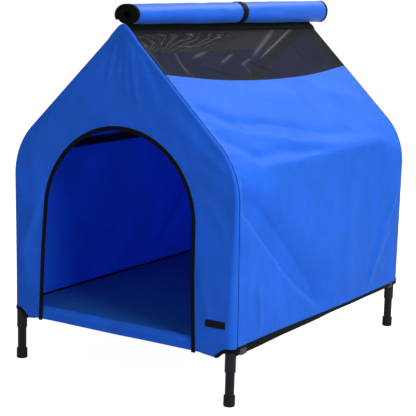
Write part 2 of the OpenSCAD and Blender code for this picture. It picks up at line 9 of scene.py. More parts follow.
import bpy
import numpy as np
from bpy.props import FloatProperty, FloatVectorProperty, PointerProperty
from bpy.types import Operator, Panel, PropertyGroup
from mathutils import Matrix, Vector


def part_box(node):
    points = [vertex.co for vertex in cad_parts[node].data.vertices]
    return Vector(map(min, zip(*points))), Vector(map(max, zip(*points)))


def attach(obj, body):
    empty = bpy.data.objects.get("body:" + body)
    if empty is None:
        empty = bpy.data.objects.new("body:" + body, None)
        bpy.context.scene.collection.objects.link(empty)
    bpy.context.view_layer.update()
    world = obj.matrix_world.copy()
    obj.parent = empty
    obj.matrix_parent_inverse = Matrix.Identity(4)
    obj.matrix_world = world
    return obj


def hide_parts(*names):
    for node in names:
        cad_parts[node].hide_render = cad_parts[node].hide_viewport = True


bl_info = {
    "name": "Raised Pet House",
    "version": (1, 0, 0),
    "blender": (4, 5, 0),
    "location": "View3D > Sidebar > Pet House",
    "description": "Dresses a tube frame in cloth, mesh and tape, and lights it",
    "category": "Object",
}

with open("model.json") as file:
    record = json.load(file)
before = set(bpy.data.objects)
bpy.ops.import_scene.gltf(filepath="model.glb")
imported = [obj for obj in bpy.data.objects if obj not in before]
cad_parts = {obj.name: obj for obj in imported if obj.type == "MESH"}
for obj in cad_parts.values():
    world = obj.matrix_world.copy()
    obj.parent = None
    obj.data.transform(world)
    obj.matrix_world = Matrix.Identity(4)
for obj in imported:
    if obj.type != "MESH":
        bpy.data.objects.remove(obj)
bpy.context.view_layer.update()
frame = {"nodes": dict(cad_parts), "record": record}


def middle(node):
    """Middle of a node's box."""
    low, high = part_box(node)
    return (low + high) / 2


MM = 0.001
# Each side's sign of x, and its name
SIDES = ((1, "right"), (-1, "left"))

# Centre lines of the tube frame
LEG_X = middle("base_rail_right").x
RAIL_Z = middle("base_rail_right").z
RIDGE_Z = middle("ridge_rail").z
FRONT_Y = middle("base_rail_front").y
REAR_Y = middle("base_rail_rear").y
MIDDLE_Y = (FRONT_Y + REAR_Y) / 2
HALF_D = (REAR_Y - FRONT_Y) / 2
TUBE_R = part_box("base_rail_right")[1].x - LEG_X
# Radius at which the rails, and the hoops with their tees, hold the cloth out
RAIL_R = TUBE_R + 0.0017
TEE_R = TUBE_R + 0.0036
# Length and half width of the corner sockets' arms along the base rails
ARM_LEN = 0.044
ARM_HALF = 0.017

# Height where wall and rafter would meet, and the radius of the bend there
EAVE_Z = 0.540
BEND_R = 0.160
PITCH = math.atan2(RIDGE_Z - EAVE_Z, LEG_X)
TURN = math.pi / 2 - PITCH
BEND_TAN = BEND_R * math.tan(TURN / 2)
BEND_X = LEG_X - BEND_R
BEND_Z = EAVE_Z - BEND_TAN
SLOPE_LEN = LEG_X / math.cos(PITCH) - BEND_TAN

# Layers, as distances outwards from the centre lines
COVER_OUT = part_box("side_hem_tape_right")[1].x - LEG_X
COVER_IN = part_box("side_hem_tape_right")[0].x - LEG_X
MESH_OUT = COVER_IN + 0.0006
BAND_OUT = COVER_IN + 0.0024
FACE_Y = FRONT_Y - COVER_OUT
BACK_Y = REAR_Y + COVER_OUT
COVER_LEN = BACK_Y - FACE_Y

# Lengths up the cloth from the foot of the bend: to the slope, to the ridge's round and to
# the ridge's middle
BEND_LEN = (BEND_R + COVER_OUT) * TURN
RIDGE_AT = BEND_LEN + SLOPE_LEN
RIDGE_LEN = COVER_OUT * PITCH
RIDGE_TOP = RIDGE_AT + RIDGE_LEN

# Lower edges of the cloth
FRONT_HEM = RAIL_Z - 0.018
HEM_DIP = 0.0045
DIP_LEN = 0.045
NOTCH_TOP = RAIL_Z - 0.0035
NOTCH_RISE = 0.006
NOTCH_IN = 0.028
# Radius of the front corners at the hem
HEM_ROUND = 0.0185
# How far the front's edge stands up beside mesh and band
RIDGE_LIFT = 0.0022
# Width of the mesh windows' hems
MESH_HEM = 0.017

# Lower edge of the mesh windows, down the slope from over the ridge, at the front and the
# rear, and how far it bows down between them. The left window is the smaller one.
MESH_EDGE = {"right": (0.150, 0.168, 0.029), "left": (0.088, 0.120, 0.0)}

# Doorway, over its binding
DOOR_SPRING = 0.400
DOOR_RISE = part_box("door_binding")[1].z - DOOR_SPRING
DOOR_HALF = 0.222
DOOR_FLARE = 0.011
DOOR_SHIFT = 0.010
SHIFT_FULL = 0.100
# Share of the doorway's edge that is arch, from the top down
ARCH_SHARE = 0.56
# How far the front's cloth goes on inside the doorway's edge, under the binding
DOOR_TUCK = 0.004

# Rolled flap, at its front and rear: half width, half height, how far right of the ridge it
# lies and how far its weight presses it down
ROLL_LOW, ROLL_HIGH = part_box("roof_flap_roll")
ROLL_A = (0.0325, 0.0245)
ROLL_B = (0.0232, 0.0305)
ROLL_LEAN = (0.0060, 0.0120)
ROLL_SINK = (0.0008, 0.0050)
ROLL_FOOT = RIDGE_Z + BAND_OUT + 0.0003
ROLL_TURNS = 4.6
ROLL_PITCH = 0.0046
# Share of each turn after which it steps in by one pitch
ROLL_STEP = 0.84
TAIL_ANGLE = math.radians(212)
SEAM_S = 0.0205
TIE_Y = middle("flap_tie").y

# The photograph's frame, in pixels, and the camera that fits it
PHOTO_PX = 416
FOCAL_PX = 1248.46
SENSOR_MM = 36
CAMERA_AIM = Vector((-0.0353, MIDDLE_Y, 0.3607))

# Studio: where the lights look, half the width of its floor, and how pale the floor is
LIGHT_AIM = Vector((0, 0, 0.45))
FLOOR_HALF = 14.0
FLOOR_WHITE = 0.40


def smooth(t):
    """0 below 0, 1 above 1 and 3t^2 - 2t^3 between."""
    t = np.clip(t, 0, 1)
    return t * t * (3 - 2 * t)


def mix(a, b, t):
    """a at t 0 and b at t 1, in a straight line."""
    return a + (b - a) * t


def stack(*parts):
    """Coordinates side by side in a new last axis, each spread to their common shape."""
    return np.stack(np.broadcast_arrays(*parts), axis=-1)


def section(u, off):
    """Right half of the house's section, off metres outside the tubes' centre line.

    u is the length up the cloth from the foot of the bend: the wall below 0, then a
    circle through TURN, then the straight slope, then a circle over the ridge.
    Returns x and z.
    """
    bend = np.clip(u / BEND_LEN, 0, 1) * TURN
    up = np.clip(u - BEND_LEN, 0, SLOPE_LEN)
    angle = bend + np.clip((u - RIDGE_AT) / RIDGE_LEN, 0, 1) * PITCH
    x = BEND_X + BEND_R * np.cos(bend) - up * math.cos(PITCH) + off * np.cos(angle)
    z = BEND_Z + BEND_R * np.sin(bend) + up * math.sin(PITCH) + off * np.sin(angle)
    return x, z + np.minimum(u, 0)


def mesh_edge(v, word):
    """Distance down the slope to a mesh window's lower edge: a line plus a bow."""
    front, rear, bow = MESH_EDGE[word]
    return mix(front, rear, v) + 4 * bow * v * (1 - v)


def lower_edge(x):
    """Height of the front's and the rear's lower edge: straight runs between corners."""
    notch = LEG_X - NOTCH_IN
    across = [notch - DIP_LEN, notch, notch + NOTCH_IN / 2, LEG_X]
    return np.interp(np.abs(x), across, [FRONT_HEM, FRONT_HEM - HEM_DIP, NOTCH_TOP - NOTCH_RISE, NOTCH_TOP])


def side_hem(v):
    """Height of a side's lower edge at v of the way back: it drops behind the middle."""
    return RAIL_Z + mix(0.0043, -0.0033, smooth((v - 0.08) / 0.62))


def side_tape_low(v):
    """Height of the lower edge of the tape under a side: almost level."""
    return RAIL_Z - 0.0102 - 0.0026 * (1 - smooth(v / 0.42))


def cloud(x, y, size, seed):
    """Smooth noise from -1 to 1: random heights on a lattice, blended by smooth steps."""
    side = 64
    lattice = np.random.default_rng(seed).uniform(-1, 1, (side, side))
    gx, gy = np.broadcast_arrays(x / size, y / size)
    ix, iy = np.floor(gx).astype(int), np.floor(gy).astype(int)
    fx, fy = smooth(gx - ix), smooth(gy - iy)
    near = mix(lattice[ix % side, iy % side], lattice[(ix + 1) % side, iy % side], fx)
    far = mix(lattice[ix % side, (iy + 1) % side], lattice[(ix + 1) % side, (iy + 1) % side], fx)
    return mix(near, far, fy)


def creases(x, y, lines):
    """Sum of soft creases: height * exp(-(distance / width)^2), eased off past the ends.

    Each line is x and y of its start, x and y of its end, height, width to its left and
    width to its right. Places and widths are millimetres, and the sum has the heights' unit.
    """
    total = np.zeros(np.broadcast(x, y).shape)
    for x0, y0, x1, y1, height, left, right in lines:
        dx, dy = MM * (x1 - x0), MM * (y1 - y0)
        from_x, from_y = x - MM * x0, y - MM * y0
        length = math.hypot(dx, dy)
        along = (from_x * dx + from_y * dy) / length**2
        side = (from_x * dy - from_y * dx) / length
        width = MM * np.where(side > 0, right, left)
        ends = smooth((along + 0.2) / 0.4) * smooth((1.2 - along) / 0.4)
        total += height * np.exp(-((side / width) ** 2)) * ends
    return total


def wrinkles(x, y, lines, seed, wander, soft, fine):
    """Relief of slack cloth: creases that wander, and soft noise of two sizes.

    wander and soft each are a height and a size, and fine is a size.
    """
    wx, wy = (place + wander[0] * cloud(x, y, wander[1], seed + i) for i, place in enumerate((x, y)))
    relief = MM * creases(wx, wy, lines) + soft[0] * cloud(x, y, soft[1], seed + 2)
    return relief + 0.0003 * cloud(x, y, fine, seed + 3)


def pucker(distance, along, height, pitch, reach, seed):
    """Ripples square to a seam: height * exp(-distance / reach) * sine of the length along it."""
    wander = 0.35 * pitch * cloud(along, distance, 2.5 * pitch, seed)
    swell = 0.6 + 0.4 * cloud(along, 0, 4 * pitch, seed + 1)
    return height * swell * np.exp(-distance / reach) * np.sin(2 * math.pi * (along + wander) / pitch)


def seam_dip(distance):
    """The cloth draws in by under a millimetre along a sewn edge."""
    return -0.0008 * np.exp(-((distance / 0.003) ** 2))


def new_piece(name, points, faces, uv, finish, thickness=0.0):
    """A mesh object from points, faces and one UV in metres for each point."""
    mesh = bpy.data.meshes.new(name)
    mesh.from_pydata(points.reshape(-1, 3).tolist(), [], [list(f) for f in faces])
    mesh.update()
    corner = np.zeros(len(mesh.loops), int)
    mesh.loops.foreach_get("vertex_index", corner)
    layer = mesh.uv_layers.new(name="UVMap")
    layer.data.foreach_set("uv", uv.reshape(-1, 2)[corner].astype(np.float32).ravel())
    mesh.polygons.foreach_set("use_smooth", np.ones(len(mesh.polygons), bool))
    mesh.materials.append(finish)
    obj = bpy.data.objects.new(name, mesh)
    bpy.context.scene.collection.objects.link(obj)
    if thickness:
        solid = obj.modifiers.new("Cloth thickness", "SOLIDIFY")
        solid.thickness = thickness
        solid.offset = -1
    return obj


def grid_piece(name, points, uv, finish, thickness=0.0, flip=False, drop=None):
    """A sheet from a grid of points of shape (rows, columns, 3). drop marks quads to leave out."""
    rows, cols = points.shape[:2]
    first = (np.arange(rows - 1)[:, None] * cols + np.arange(cols - 1)).ravel()
    faces = stack(first, first + cols, first + cols + 1, first + 1)
    if flip:
        faces = faces[:, ::-1]
    if drop is not None:
        faces = faces[~drop.ravel()]
        used, faces = np.unique(faces, return_inverse=True)
        faces = faces.reshape(-1, 4)
        points, uv = points.reshape(-1, 3)[used], uv.reshape(-1, 2)[used]
    return new_piece(name, points, faces.tolist(), uv, finish, thickness)


def unit(vectors):
    """Vectors scaled to length 1."""
    return vectors / np.linalg.norm(vectors, axis=-1, keepdims=True)


def ribbon(name, path, out, width, thickness, finish, squareness=4.0, around=16):
    """A tape, cord or strap carried along a path.

    Its section is a superellipse, |x|^n + |y|^n = 1, of that width and thickness. The
    width lies square to the path and to the out direction, one for all or one a point.
    """
    steps = len(path)
    tangent = unit(np.gradient(path, axis=0))
    out = unit(out - tangent * (out * tangent).sum(1, keepdims=True))
    across = np.cross(out, tangent)
    angle = np.linspace(0, 2 * math.pi, around, endpoint=False)
    px, py = (np.sign(wave) * np.abs(wave) ** (2 / squareness) for wave in (np.cos(angle), np.sin(angle)))
    half_w, half_t = (np.broadcast_to(size, steps)[:, None] / 2 for size in (width, thickness))
    points = path[:, None] + across[:, None] * (px * half_w)[..., None]
    points = points + out[:, None] * (py * half_t)[..., None]
    length = np.concatenate([[0], np.cumsum(np.linalg.norm(np.diff(path, axis=0), axis=1))])
    uv = stack(length[:, None], px * half_w)
    rows = np.arange(steps - 1)[:, None] * around
    a, b = rows + np.arange(around), rows + (np.arange(around) + 1) % around
    sides = stack(a, b, b + around, a + around).reshape(-1, 4).tolist()
    last = (steps - 1) * around
    caps = [list(range(around - 1, -1, -1)), list(range(last, last + around))]
    return new_piece(name, points, sides + caps, uv, finish)


def dress(obj, body, slot, *nodes):
    """Lets a piece ride on a body and hides the nodes that it stands for; its slot is not used."""
    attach(obj, body)
    if nodes:
        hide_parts(*nodes)


# Doorway, front and rear


def door_middle(z):
    """x of the doorway's middle: it drifts left from the top of the arch down."""
    top = DOOR_SPRING + DOOR_RISE
    return -DOOR_SHIFT * np.clip((top - z) / (DOOR_RISE + SHIFT_FULL), 0, 1)


def door_curve(k, grow):
    """Edge of the doorway at k from -1, the left foot, over 0, the top, to 1, the right foot.

    A quarter ellipse above the spring line and a slightly flared jamb below it.
    """
    side, k = np.sign(k), np.abs(k)
    angle = math.pi / 2 * (1 - np.clip(k / ARCH_SHARE, 0, 1))
    down = np.clip((k - ARCH_SHARE) / (1 - ARCH_SHARE), 0, 1)
    z = DOOR_SPRING + (DOOR_RISE + grow) * np.sin(angle) - down * (DOOR_SPRING - FRONT_HEM)
    half = (DOOR_HALF + grow) * np.cos(angle) + DOOR_FLARE * down
    return door_middle(z) + side * half, z


def corner_turn(columns, radius):
    """A rounded corner as a quarter circle: how far out, how far behind the face, length round it."""
    phi = np.linspace(0, math.pi / 2, columns)[1:]
    return COVER_OUT - radius + radius * np.sin(phi), radius * (1 - np.cos(phi)), radius * phi


def front_round(radius, u):
    """Radius of the front's corner: the given one over the roof, growing from the eaves to HEM_ROUND."""
    return mix(radius, HEM_ROUND, smooth((BEND_LEN - u) / (BEND_LEN + BEND_Z - RAIL_Z)))


# x and z on the front
FRONT_CREASES = [
    (4, 835, -4, 730, 1.6, 5, 8),
    (14, 832, 20, 700, 2.2, 5, 9),
    (24, 826, 44, 690, 2.6, 6, 10),
    (36, 812, 96, 690, 2.2, 10, 24),
    (-14, 828, -36, 720, 1.6, 8, 8),
    (-45, 795, -110, 680, 1.4, 24, 22),
    (-236, 420, -308, 262, 6, 12, 30),
    (-255, 380, -318, 180, 4, 22, 16),
    (-268, 540, -240, 430, 3, 25, 20),
    (-200, 640, -292, 560, 3, 22, 22),
    (190, 600, 296, 540, 2.4, 18, 22),
    (215, 540, 300, 490, 1.8, 14, 20),
    (250, 480, 300, 400, 2, 16, 22),
    (120, 660, 220, 600, 2.8, 22, 20),
    (232, 300, 262, 190, 2.2, 16, 18),
]


def front_relief(x, z, from_door, to_edge, height):
    """How far the front stands out: wrinkles, and puckers at the binding."""
    relief = wrinkles(x, z, FRONT_CREASES, 11, wander=(0.006, 0.09), soft=(0.0010, 0.07), fine=0.022)
    calm = smooth(from_door / 0.020) * smooth(to_edge / 0.030) * smooth((z - lower_edge(x)) / 0.03)
    ripple = pucker(from_door, x + z, height=0.0007, pitch=0.021, reach=0.014, seed=15)
    return height * relief * calm + ripple * smooth(from_door / 0.004) * smooth(to_edge / 0.02)


def front_cloth(radius, height):
    """Grid and UV of the front: lines from the doorway out to the edge, then the corner's turn."""
    k = np.concatenate([np.linspace(-1, 0, 150), np.linspace(0, 1, 150)[1:]])[:, None]
    side = np.where(k < 0, -1.0, 1.0)
    t = np.linspace(0, 1, 56)[None, :]
    near_x, near_z = door_curve(k, -DOOR_TUCK)
    u = RIDGE_TOP - np.abs(k) * (RIDGE_TOP + BEND_Z - NOTCH_TOP)
    radius = front_round(radius, u)
    edge_x, edge_z = section(u, COVER_OUT - radius)
    x, z = mix(near_x, side * edge_x, t), mix(near_z, edge_z, t)
    foot = smooth((np.abs(k) - 0.86) / 0.14) * smooth(t / 0.3)
    z = z + foot * (lower_edge(x) - mix(near_z[-1:], edge_z[-1:], t))
    gap = np.hypot(side * edge_x - near_x, edge_z - near_z)
    flat = stack(x, FACE_Y - front_relief(x, z, t * gap, (1 - t) * gap, height), z)
    off, depth, wrap = corner_turn(16, radius)
    off = off + RIDGE_LIFT * smooth((u - RIDGE_AT + 0.05) / 0.03)
    turn_x, turn_z = section(u, off + seam_dip(radius - depth))
    points = np.concatenate([flat, stack(side * turn_x, FACE_Y + depth, turn_z)], axis=1)
    uv_x = np.concatenate([x, side * (edge_x + wrap)], axis=1)
    uv_z = np.concatenate([z, np.broadcast_to(edge_z, turn_z.shape)], axis=1)
    return points, stack(uv_x, uv_z)


# x and z on the rear
REAR_CREASES = [
    (-15, 800, -80, 600, 5, 18, 28),
    (25, 790, 60, 610, 4.5, 16, 24),
    (200, 540, 40, 240, 6.5, 35, 50),
    (-240, 500, -110, 190, 6, 40, 30),
    (270, 420, 200, 160, 4, 25, 30),
    (-60, 420, 20, 150, 3, 45, 40),
]


def rear_cloth(radius, height):
    """Grid and UV of the rear: level rows up the outline, with a rounded corner at each end."""
    u = np.concatenate([
        np.linspace(NOTCH_TOP - BEND_Z, 0, 84),
        np.linspace(0, BEND_LEN, 34)[1:],
        np.linspace(BEND_LEN, RIDGE_AT, 88)[1:],
        np.linspace(RIDGE_AT, RIDGE_TOP, 5)[1:],
    ])[:, None]
    c = np.linspace(1, -1, 150)[None, :]
    half, level = section(u, COVER_OUT - radius)
    x = c * half
    up = np.clip((u - u[0]) / -u[0], 0, 1)
    z = np.where(u < 0, mix(lower_edge(x), BEND_Z, up), level)
    to_edge = (1 - np.abs(c)) * half
    relief = wrinkles(x, z, REAR_CREASES, 31, wander=(0.010, 0.14), soft=(0.0014, 0.10), fine=0.03)
    calm = smooth(to_edge / 0.05) * smooth((z - lower_edge(x)) / 0.03) * smooth((RIDGE_AT - u) / 0.05)
    flat = stack(x, BACK_Y + height * relief * calm, z)
    off, depth, wrap = corner_turn(10, radius)
    turn_x, turn_z = section(u, off + seam_dip(wrap[-1] - wrap))
    right, left = (stack(side * turn_x, BACK_Y - depth, turn_z) for side, _ in SIDES)
    points = np.concatenate([right[:, ::-1], flat, left], axis=1)
    uv_x = np.concatenate([half + wrap[::-1], x, -half - wrap], axis=1)
    return points, stack(uv_x, points[..., 2])


# Sides, mesh and ridge band

# Distance back from the front, and up the cloth from the foot of the bend
RIGHT_CREASES = [
    (20, -4, 424, -315, -17.5, 46, 13),
    (30, 20, 160, -120, -4.5, 34, 12),
    (875, -60, 700, -315, 5.5, 16, 12),
    (868, -130, 750, -262, 3.5, 14, 10),
    (610, -60, 560, -300, 3, 40, 30),
    (112, -215, 126, -310, 2.8, 10, 12),
    (55, -100, 70, -300, 2, 16, 20),
    (450, -100, 500, -300, 2.2, 45, 35),
    (30, 245, 150, 200, -6, 20, 20),
    (130, 205, 400, 152, -7.5, 22, 26),
    (380, 155, 680, 100, -6.5, 22, 26),
    (36, 200, 350, 122, 6, 20, 26),
    (330, 126, 800, 72, 6, 22, 22),
    (10, 165, 145, 96, -5, 18, 20),
    (130, 100, 460, 84, -5, 16, 22),
    (300, 290, 520, 250, 2.2, 30, 30),
    (620, 270, 840, 210, 2.4, 24, 30),
    (780, 30, 880, 60, 2.5, 12, 16),
]
LEFT_CREASES = [
    (20, -30, 330, -300, 6, 20, 40),
    (860, -40, 600, -320, 6.5, 34, 18),
    (450, -80, 420, -290, 3, 40, 34),
    (40, 210, 420, 130, 4.5, 24, 30),
    (400, 110, 860, 40, 4.5, 26, 24),
    (80, 130, 500, 60, -4, 24, 24),
    (520, 220, 850, 160, -3.5, 24, 30),
]


def from_ends(d):
    """Distance from the nearer end of the cover, at d back from its front."""
    return np.minimum(d, COVER_LEN - d)


def span_sag(d, u, depth):
    """How far the cloth falls inside the hoops' outline between them, where only rails carry it.

    It grows in a straight line from the hem and from the ridge, and falls off to nothing as
    1 - exp(-distance / 22 mm) at the eave rail, so that the bend is sharp over the rail.
    """
    foot = RAIL_Z - BEND_Z
    wall = np.clip((u - foot) / -foot, 0, 1)
    slope = np.clip((RIDGE_AT - u) / SLOPE_LEN, 0, 1)
    from_rail = np.hypot(u - BEND_LEN / 2, 0.007) - 0.007
    return depth * wall * slope * (1 - np.exp(-from_rail / 0.022)) * smooth(from_ends(d) / 0.26)


def tube_support(beside, radius):
    """How far out a tube holds the cloth at that distance beside its centre line: a circle."""
    return np.sqrt(np.maximum(radius**2 - beside**2, 0))


def side_relief(d, u, foot, top, lines, height, seed):
    """How far a side stands out of its outline: wrinkles, and puckers at the seams and the hem."""
    relief = wrinkles(d, u, lines, seed, wander=(0.010, 0.13), soft=(0.0012, 0.09), fine=0.028)
    ends = from_ends(d)
    calm = smooth(ends / 0.030) * smooth((top - u) / 0.03) * smooth((u - foot) / 0.03)
    bend = np.exp(-(((u - BEND_LEN) / 0.17) ** 2))
    ripple = pucker(ends, u, height=0.0046, pitch=0.026, reach=0.020, seed=seed + 4)
    ripple = ripple * bend * smooth(ends / 0.006)
    at_hem = pucker(u - foot, d, height=0.0008, pitch=0.023, reach=0.016, seed=seed + 6)
    at_hem = at_hem * smooth((u - foot) / 0.004) * smooth(ends / 0.04)
    at_hem = at_hem * (0.45 + 0.55 * np.exp(-(((d - 0.30) / 0.20) ** 2)))
    return height * relief * calm + height * (ripple + at_hem)


def side_cloth(radius, height, sag, lines, word, seed):
    """Grid and UV of a side, as a right one: rows up the section from hem to mesh, columns to the back."""
    v, t = np.linspace(0, 1, 230)[None, :], np.linspace(0, 1, 230)[:, None]
    foot, top = side_hem(v) - BEND_Z, RIDGE_AT - mesh_edge(v, word)
    u = mix(foot, top, t)
    front, back = FACE_Y + front_round(radius, u), BACK_Y - radius
    y = mix(front, back, v)
    d = y - FACE_Y
    ends = np.minimum(y - front, back - y)
    relief = side_relief(d, u, foot, top, lines, height, seed) * smooth(ends / 0.008)
    off = COVER_OUT + relief - span_sag(d, u, sag)
    off = np.maximum(off, tube_support(u - BEND_LEN / 2, RAIL_R))
    beside = np.maximum(from_ends(d) - COVER_OUT, 0)
    off = np.maximum(off, tube_support(beside, TEE_R)) + seam_dip(ends)
    x, z = section(u, off)
    return stack(x, y, z), stack(d, u)


# Distance back from the front, and down the slope from the ridge
MESH_CREASES = [
    (100, 20, 40, 110, 1.6, 4, 8),
    (220, 70, 160, 130, 1.8, 4, 9),
    (360, 80, 270, 150, 1.8, 4, 9),
    (600, 40, 460, 120, 2.2, 4, 10),
    (200, 130, 300, 165, 1.4, 5, 6),
    (420, 120, 500, 160, 1.4, 5, 6),
    (700, 60, 720, 130, 1.2, 6, 10),
]
# Folds at such places, which close the mesh's holes and carry a painted highlight that makes the yarn paler,
# with a share from 0 to 1 for the height
MESH_FOLD_HIGHLIGHTS = [
    (754, 24, 509, 108, 1, 2, 2),
    (660, 22, 472, 101, 0.55, 4, 6),
    (364, 97, 288, 122, 0.55, 3, 4),
    (258, 83, 180, 102, 0.5, 3, 4),
    (436, 114, 373, 132, 0.4, 3, 4),
    (3, 63, 8, 147, 0.6, 2, 2),
    (16, 54, 21, 148, 0.45, 2, 2.5),
    (116, 82, 103, 158, 0.35, 2.5, 4),
    (106, 108, 121, 163, 0.3, 2.5, 3),
    (385, 125, 382, 163, 0.3, 2.5, 4),
]


def mesh_cloth(y0, y1, columns, sag, word, seed, off):
    """Grid and UV of a mesh window, as a right one: a slack sheet down to its lower edge."""
    y = np.linspace(y0, y1, columns)[None, :]
    d = y - FACE_Y
    edge = mesh_edge(d / COVER_LEN, word)
    s = mix(0.012, edge + 0.0005, np.linspace(0, 1, 100)[:, None])
    u = RIDGE_AT - s
    calm = smooth(from_ends(d) / 0.03) * smooth((s - 0.02) / 0.03) * smooth((edge - s) / 0.02)
    slack = 0.0020 * cloud(d, s, 0.085, seed) + 0.0005 * cloud(d, s, 0.030, seed + 1) - 0.0015
    relief = slack + MM * creases(d, s, MESH_CREASES)
    x, z = section(u, off + calm * relief - span_sag(d, u, sag))
    return stack(x, y, z), stack(d, s)


def band_drop(v):
    """How far the ridge band reaches down each slope."""
    return mix(0.0115, 0.0255, v)


def band_cloth():
    """Grid and UV of the ridge band: up the right slope, round the ridge and down the left one."""
    w = np.linspace(-1, 1, 41)[:, None]
    y = np.linspace(FACE_Y + 0.0085, BACK_Y - 0.0015, 120)[None, :]
    drop = band_drop((y - FACE_Y) / COVER_LEN) + 0.0008 * cloud(y, 0, 0.05, 61)
    lift = 0.0004 * cloud(y, w * 0.05, 0.03, 62) * smooth(np.abs(w) * 3 - 1)
    x, z = section(RIDGE_TOP - np.abs(w) * (drop + RIDGE_LEN), BAND_OUT + lift)
    return stack(np.sign(-w) * x, y, z), stack(y, w * (drop + RIDGE_LEN))


# Rolled flap


def roll_oval(y):
    """Half width, half height, lean and height of the middle of the roll at y."""
    t = np.clip((y - ROLL_LOW.y) / (ROLL_HIGH.y - ROLL_LOW.y), 0, 1)
    b = mix(*ROLL_B, t)
    return mix(*ROLL_A, t), b, mix(*ROLL_LEAN, t), ROLL_FOOT + b - mix(*ROLL_SINK, t)


def over_ridge(x, z, gap):
    """Points pushed straight out from the ridge until they lie at least gap from its centre line."""
    push = np.maximum(gap / np.hypot(x, z - RIDGE_Z), 1)
    return x * push, RIDGE_Z + (z - RIDGE_Z) * push


def roll_surface(turns, y, depth):
    """Point of the rolled cloth after that many turns from its tail, depth inside its outer face.

    An oval spiral. Each turn keeps its size for most of its way, and steps in by one
    pitch between the underside and the tail. The tail flares out at its free end.
    """
    a, b, lean, mid = roll_oval(y)
    part = turns - np.floor(turns)
    shrink = ROLL_PITCH * (np.floor(turns) + np.clip((part - ROLL_STEP) / (1 - ROLL_STEP), 0, 1))
    flare = 0.002 * np.clip(1 - turns / 0.115, 0, 1)
    angle = TAIL_ANGLE - 2 * math.pi * turns
    pinch = 0.0012 * np.exp(-(((y - TIE_Y) / 0.014) ** 2))
    soft = 0.0006 * cloud(y, turns * 0.2, 0.05, 71) + 0.0005 * cloud(y, turns * 0.2, 0.16, 72)
    grow = flare - depth - pinch + soft * smooth((angle % (2 * math.pi) - 0.2) / 0.4)
    x = lean + (a - shrink + grow) * np.cos(angle)
    z = mid + (b - shrink * b / a + grow) * np.sin(angle)
    x, z = over_ridge(x, z, BAND_OUT + 0.0006 + depth + 0.6 * shrink)
    return stack(x, y, z)


TURNS = np.linspace(0, ROLL_TURNS, 240)


def roll_cloth(y0, y1, rows, depth):
    """Grid and UV of the rolled cloth between two places along it, each one or one for each of TURNS."""
    y = mix(y0 + 0 * TURNS, y1 + 0 * TURNS, np.linspace(0, 1, rows)[:, None])
    points = roll_surface(TURNS, y, depth)
    step = np.linalg.norm(np.diff(points, axis=1), axis=2)
    length = np.concatenate([np.zeros((rows, 1)), np.cumsum(step, axis=1)], axis=1)
    return points, stack(y, length)


# Materials


class Nodes:
    """The node tree of a material or a world, put together one node at a time."""

    def __init__(self, owner, kind):
        owner.use_nodes = True
        self.owner, self.tree = owner, owner.node_tree
        self.tree.nodes.clear()
        self.output = self.tree.nodes.new("ShaderNodeOutput" + kind)

    def node(self, kind, inputs=None, **settings):
        """A node with its settings, and its inputs given as values or as sockets to link."""
        made = self.tree.nodes.new("ShaderNode" + kind)
        for key, value in settings.items():
            setattr(made, key, value)
        for key, value in (inputs or {}).items():
            if isinstance(value, bpy.types.NodeSocket):
                self.tree.links.new(value, made.inputs[key])
            else:
                made.inputs[key].default_value = value
        return made

    def math(self, operation, *values):
        """Output of one Math node."""
        return self.node("Math", dict(enumerate(values)), operation=operation).outputs[0]

    def wave(self, value, pitch):
        """Sine of a length in metres, from -1 to 1, once for each pitch."""
        return self.math("SINE", self.math("MULTIPLY", value, 2 * math.pi / pitch))

    def coordinates(self):
        """u and v of the UV map, in metres, and the Object coordinates."""
        place = self.node("TexCoord")
        split = self.node("SeparateXYZ", {0: place.outputs["UV"]})
        return split.outputs["X"], split.outputs["Y"], place.outputs["Object"]

    def noise(self, vector, scale, detail=2.0, roughness=0.5):
        """Noise from 0 to 1 at that many features a metre."""
        inputs = {"Vector": vector, "Scale": scale, "Detail": detail, "Roughness": roughness}
        return self.node("TexNoise", inputs).outputs["Fac"]

    def blend(self, share, a, b):
        """Colour a where share is 0 and b where it is 1."""
        return self.node("Mix", {"Factor": share, "A": a, "B": b}, data_type="RGBA").outputs["Result"]

    def tint(self, colour, share, low, high):
        """The colour, darkened to low at share 0 and lightened to high at share 1."""
        dark = [c * low for c in colour] + [1]
        light = [min(1, c * high) for c in colour] + [1]
        return self.blend(share, dark, light)

    def bump(self, height, distance, strength, **normal):
        """Normal bumped by a height from 0 to 1 that stands for distance metres."""
        inputs = {"Height": height, "Distance": distance, "Strength": strength, **normal}
        return self.node("Bump", inputs).outputs["Normal"]

    def principled(self, **inputs):
        """A Principled shader; words in an input's name are joined by _."""
        named = {key.replace("_", " "): value for key, value in inputs.items()}
        return self.node("BsdfPrincipled", named)

    def mixed(self, share, a, b):
        """Ends the tree in shader a where share is 0 and b where it is 1."""
        return self.surface(self.node("MixShader", {"Fac": share, 1: a.outputs[0], 2: b.outputs[0]}))

    def surface(self, shader):
        """Ends the tree in this shader."""
        self.tree.links.new(shader.outputs[0], self.output.inputs["Surface"])
        return self.owner


MADE = {}


def finish_of(name, maker, colour, **look):
    """The material of that name, made once, in one of the colours of the settings."""
    if name not in MADE:
        nodes = Nodes(bpy.data.materials.new(name), "Material")
        MADE[name] = maker(nodes, getattr(bpy.context.scene.pet_house_colours, colour), **look)
    return MADE[name]


# Light that passes through the cloth takes this power of its colour
DEEPER = 1.05
# Pitch of the cloth's threads
WEAVE = 0.0011
# Stitches of the tapes: half their width, their pitch, and the share of it that is thread
STITCH_HALF, STITCH_PITCH, STITCH_SHARE = 0.0004, 0.0036, 0.68


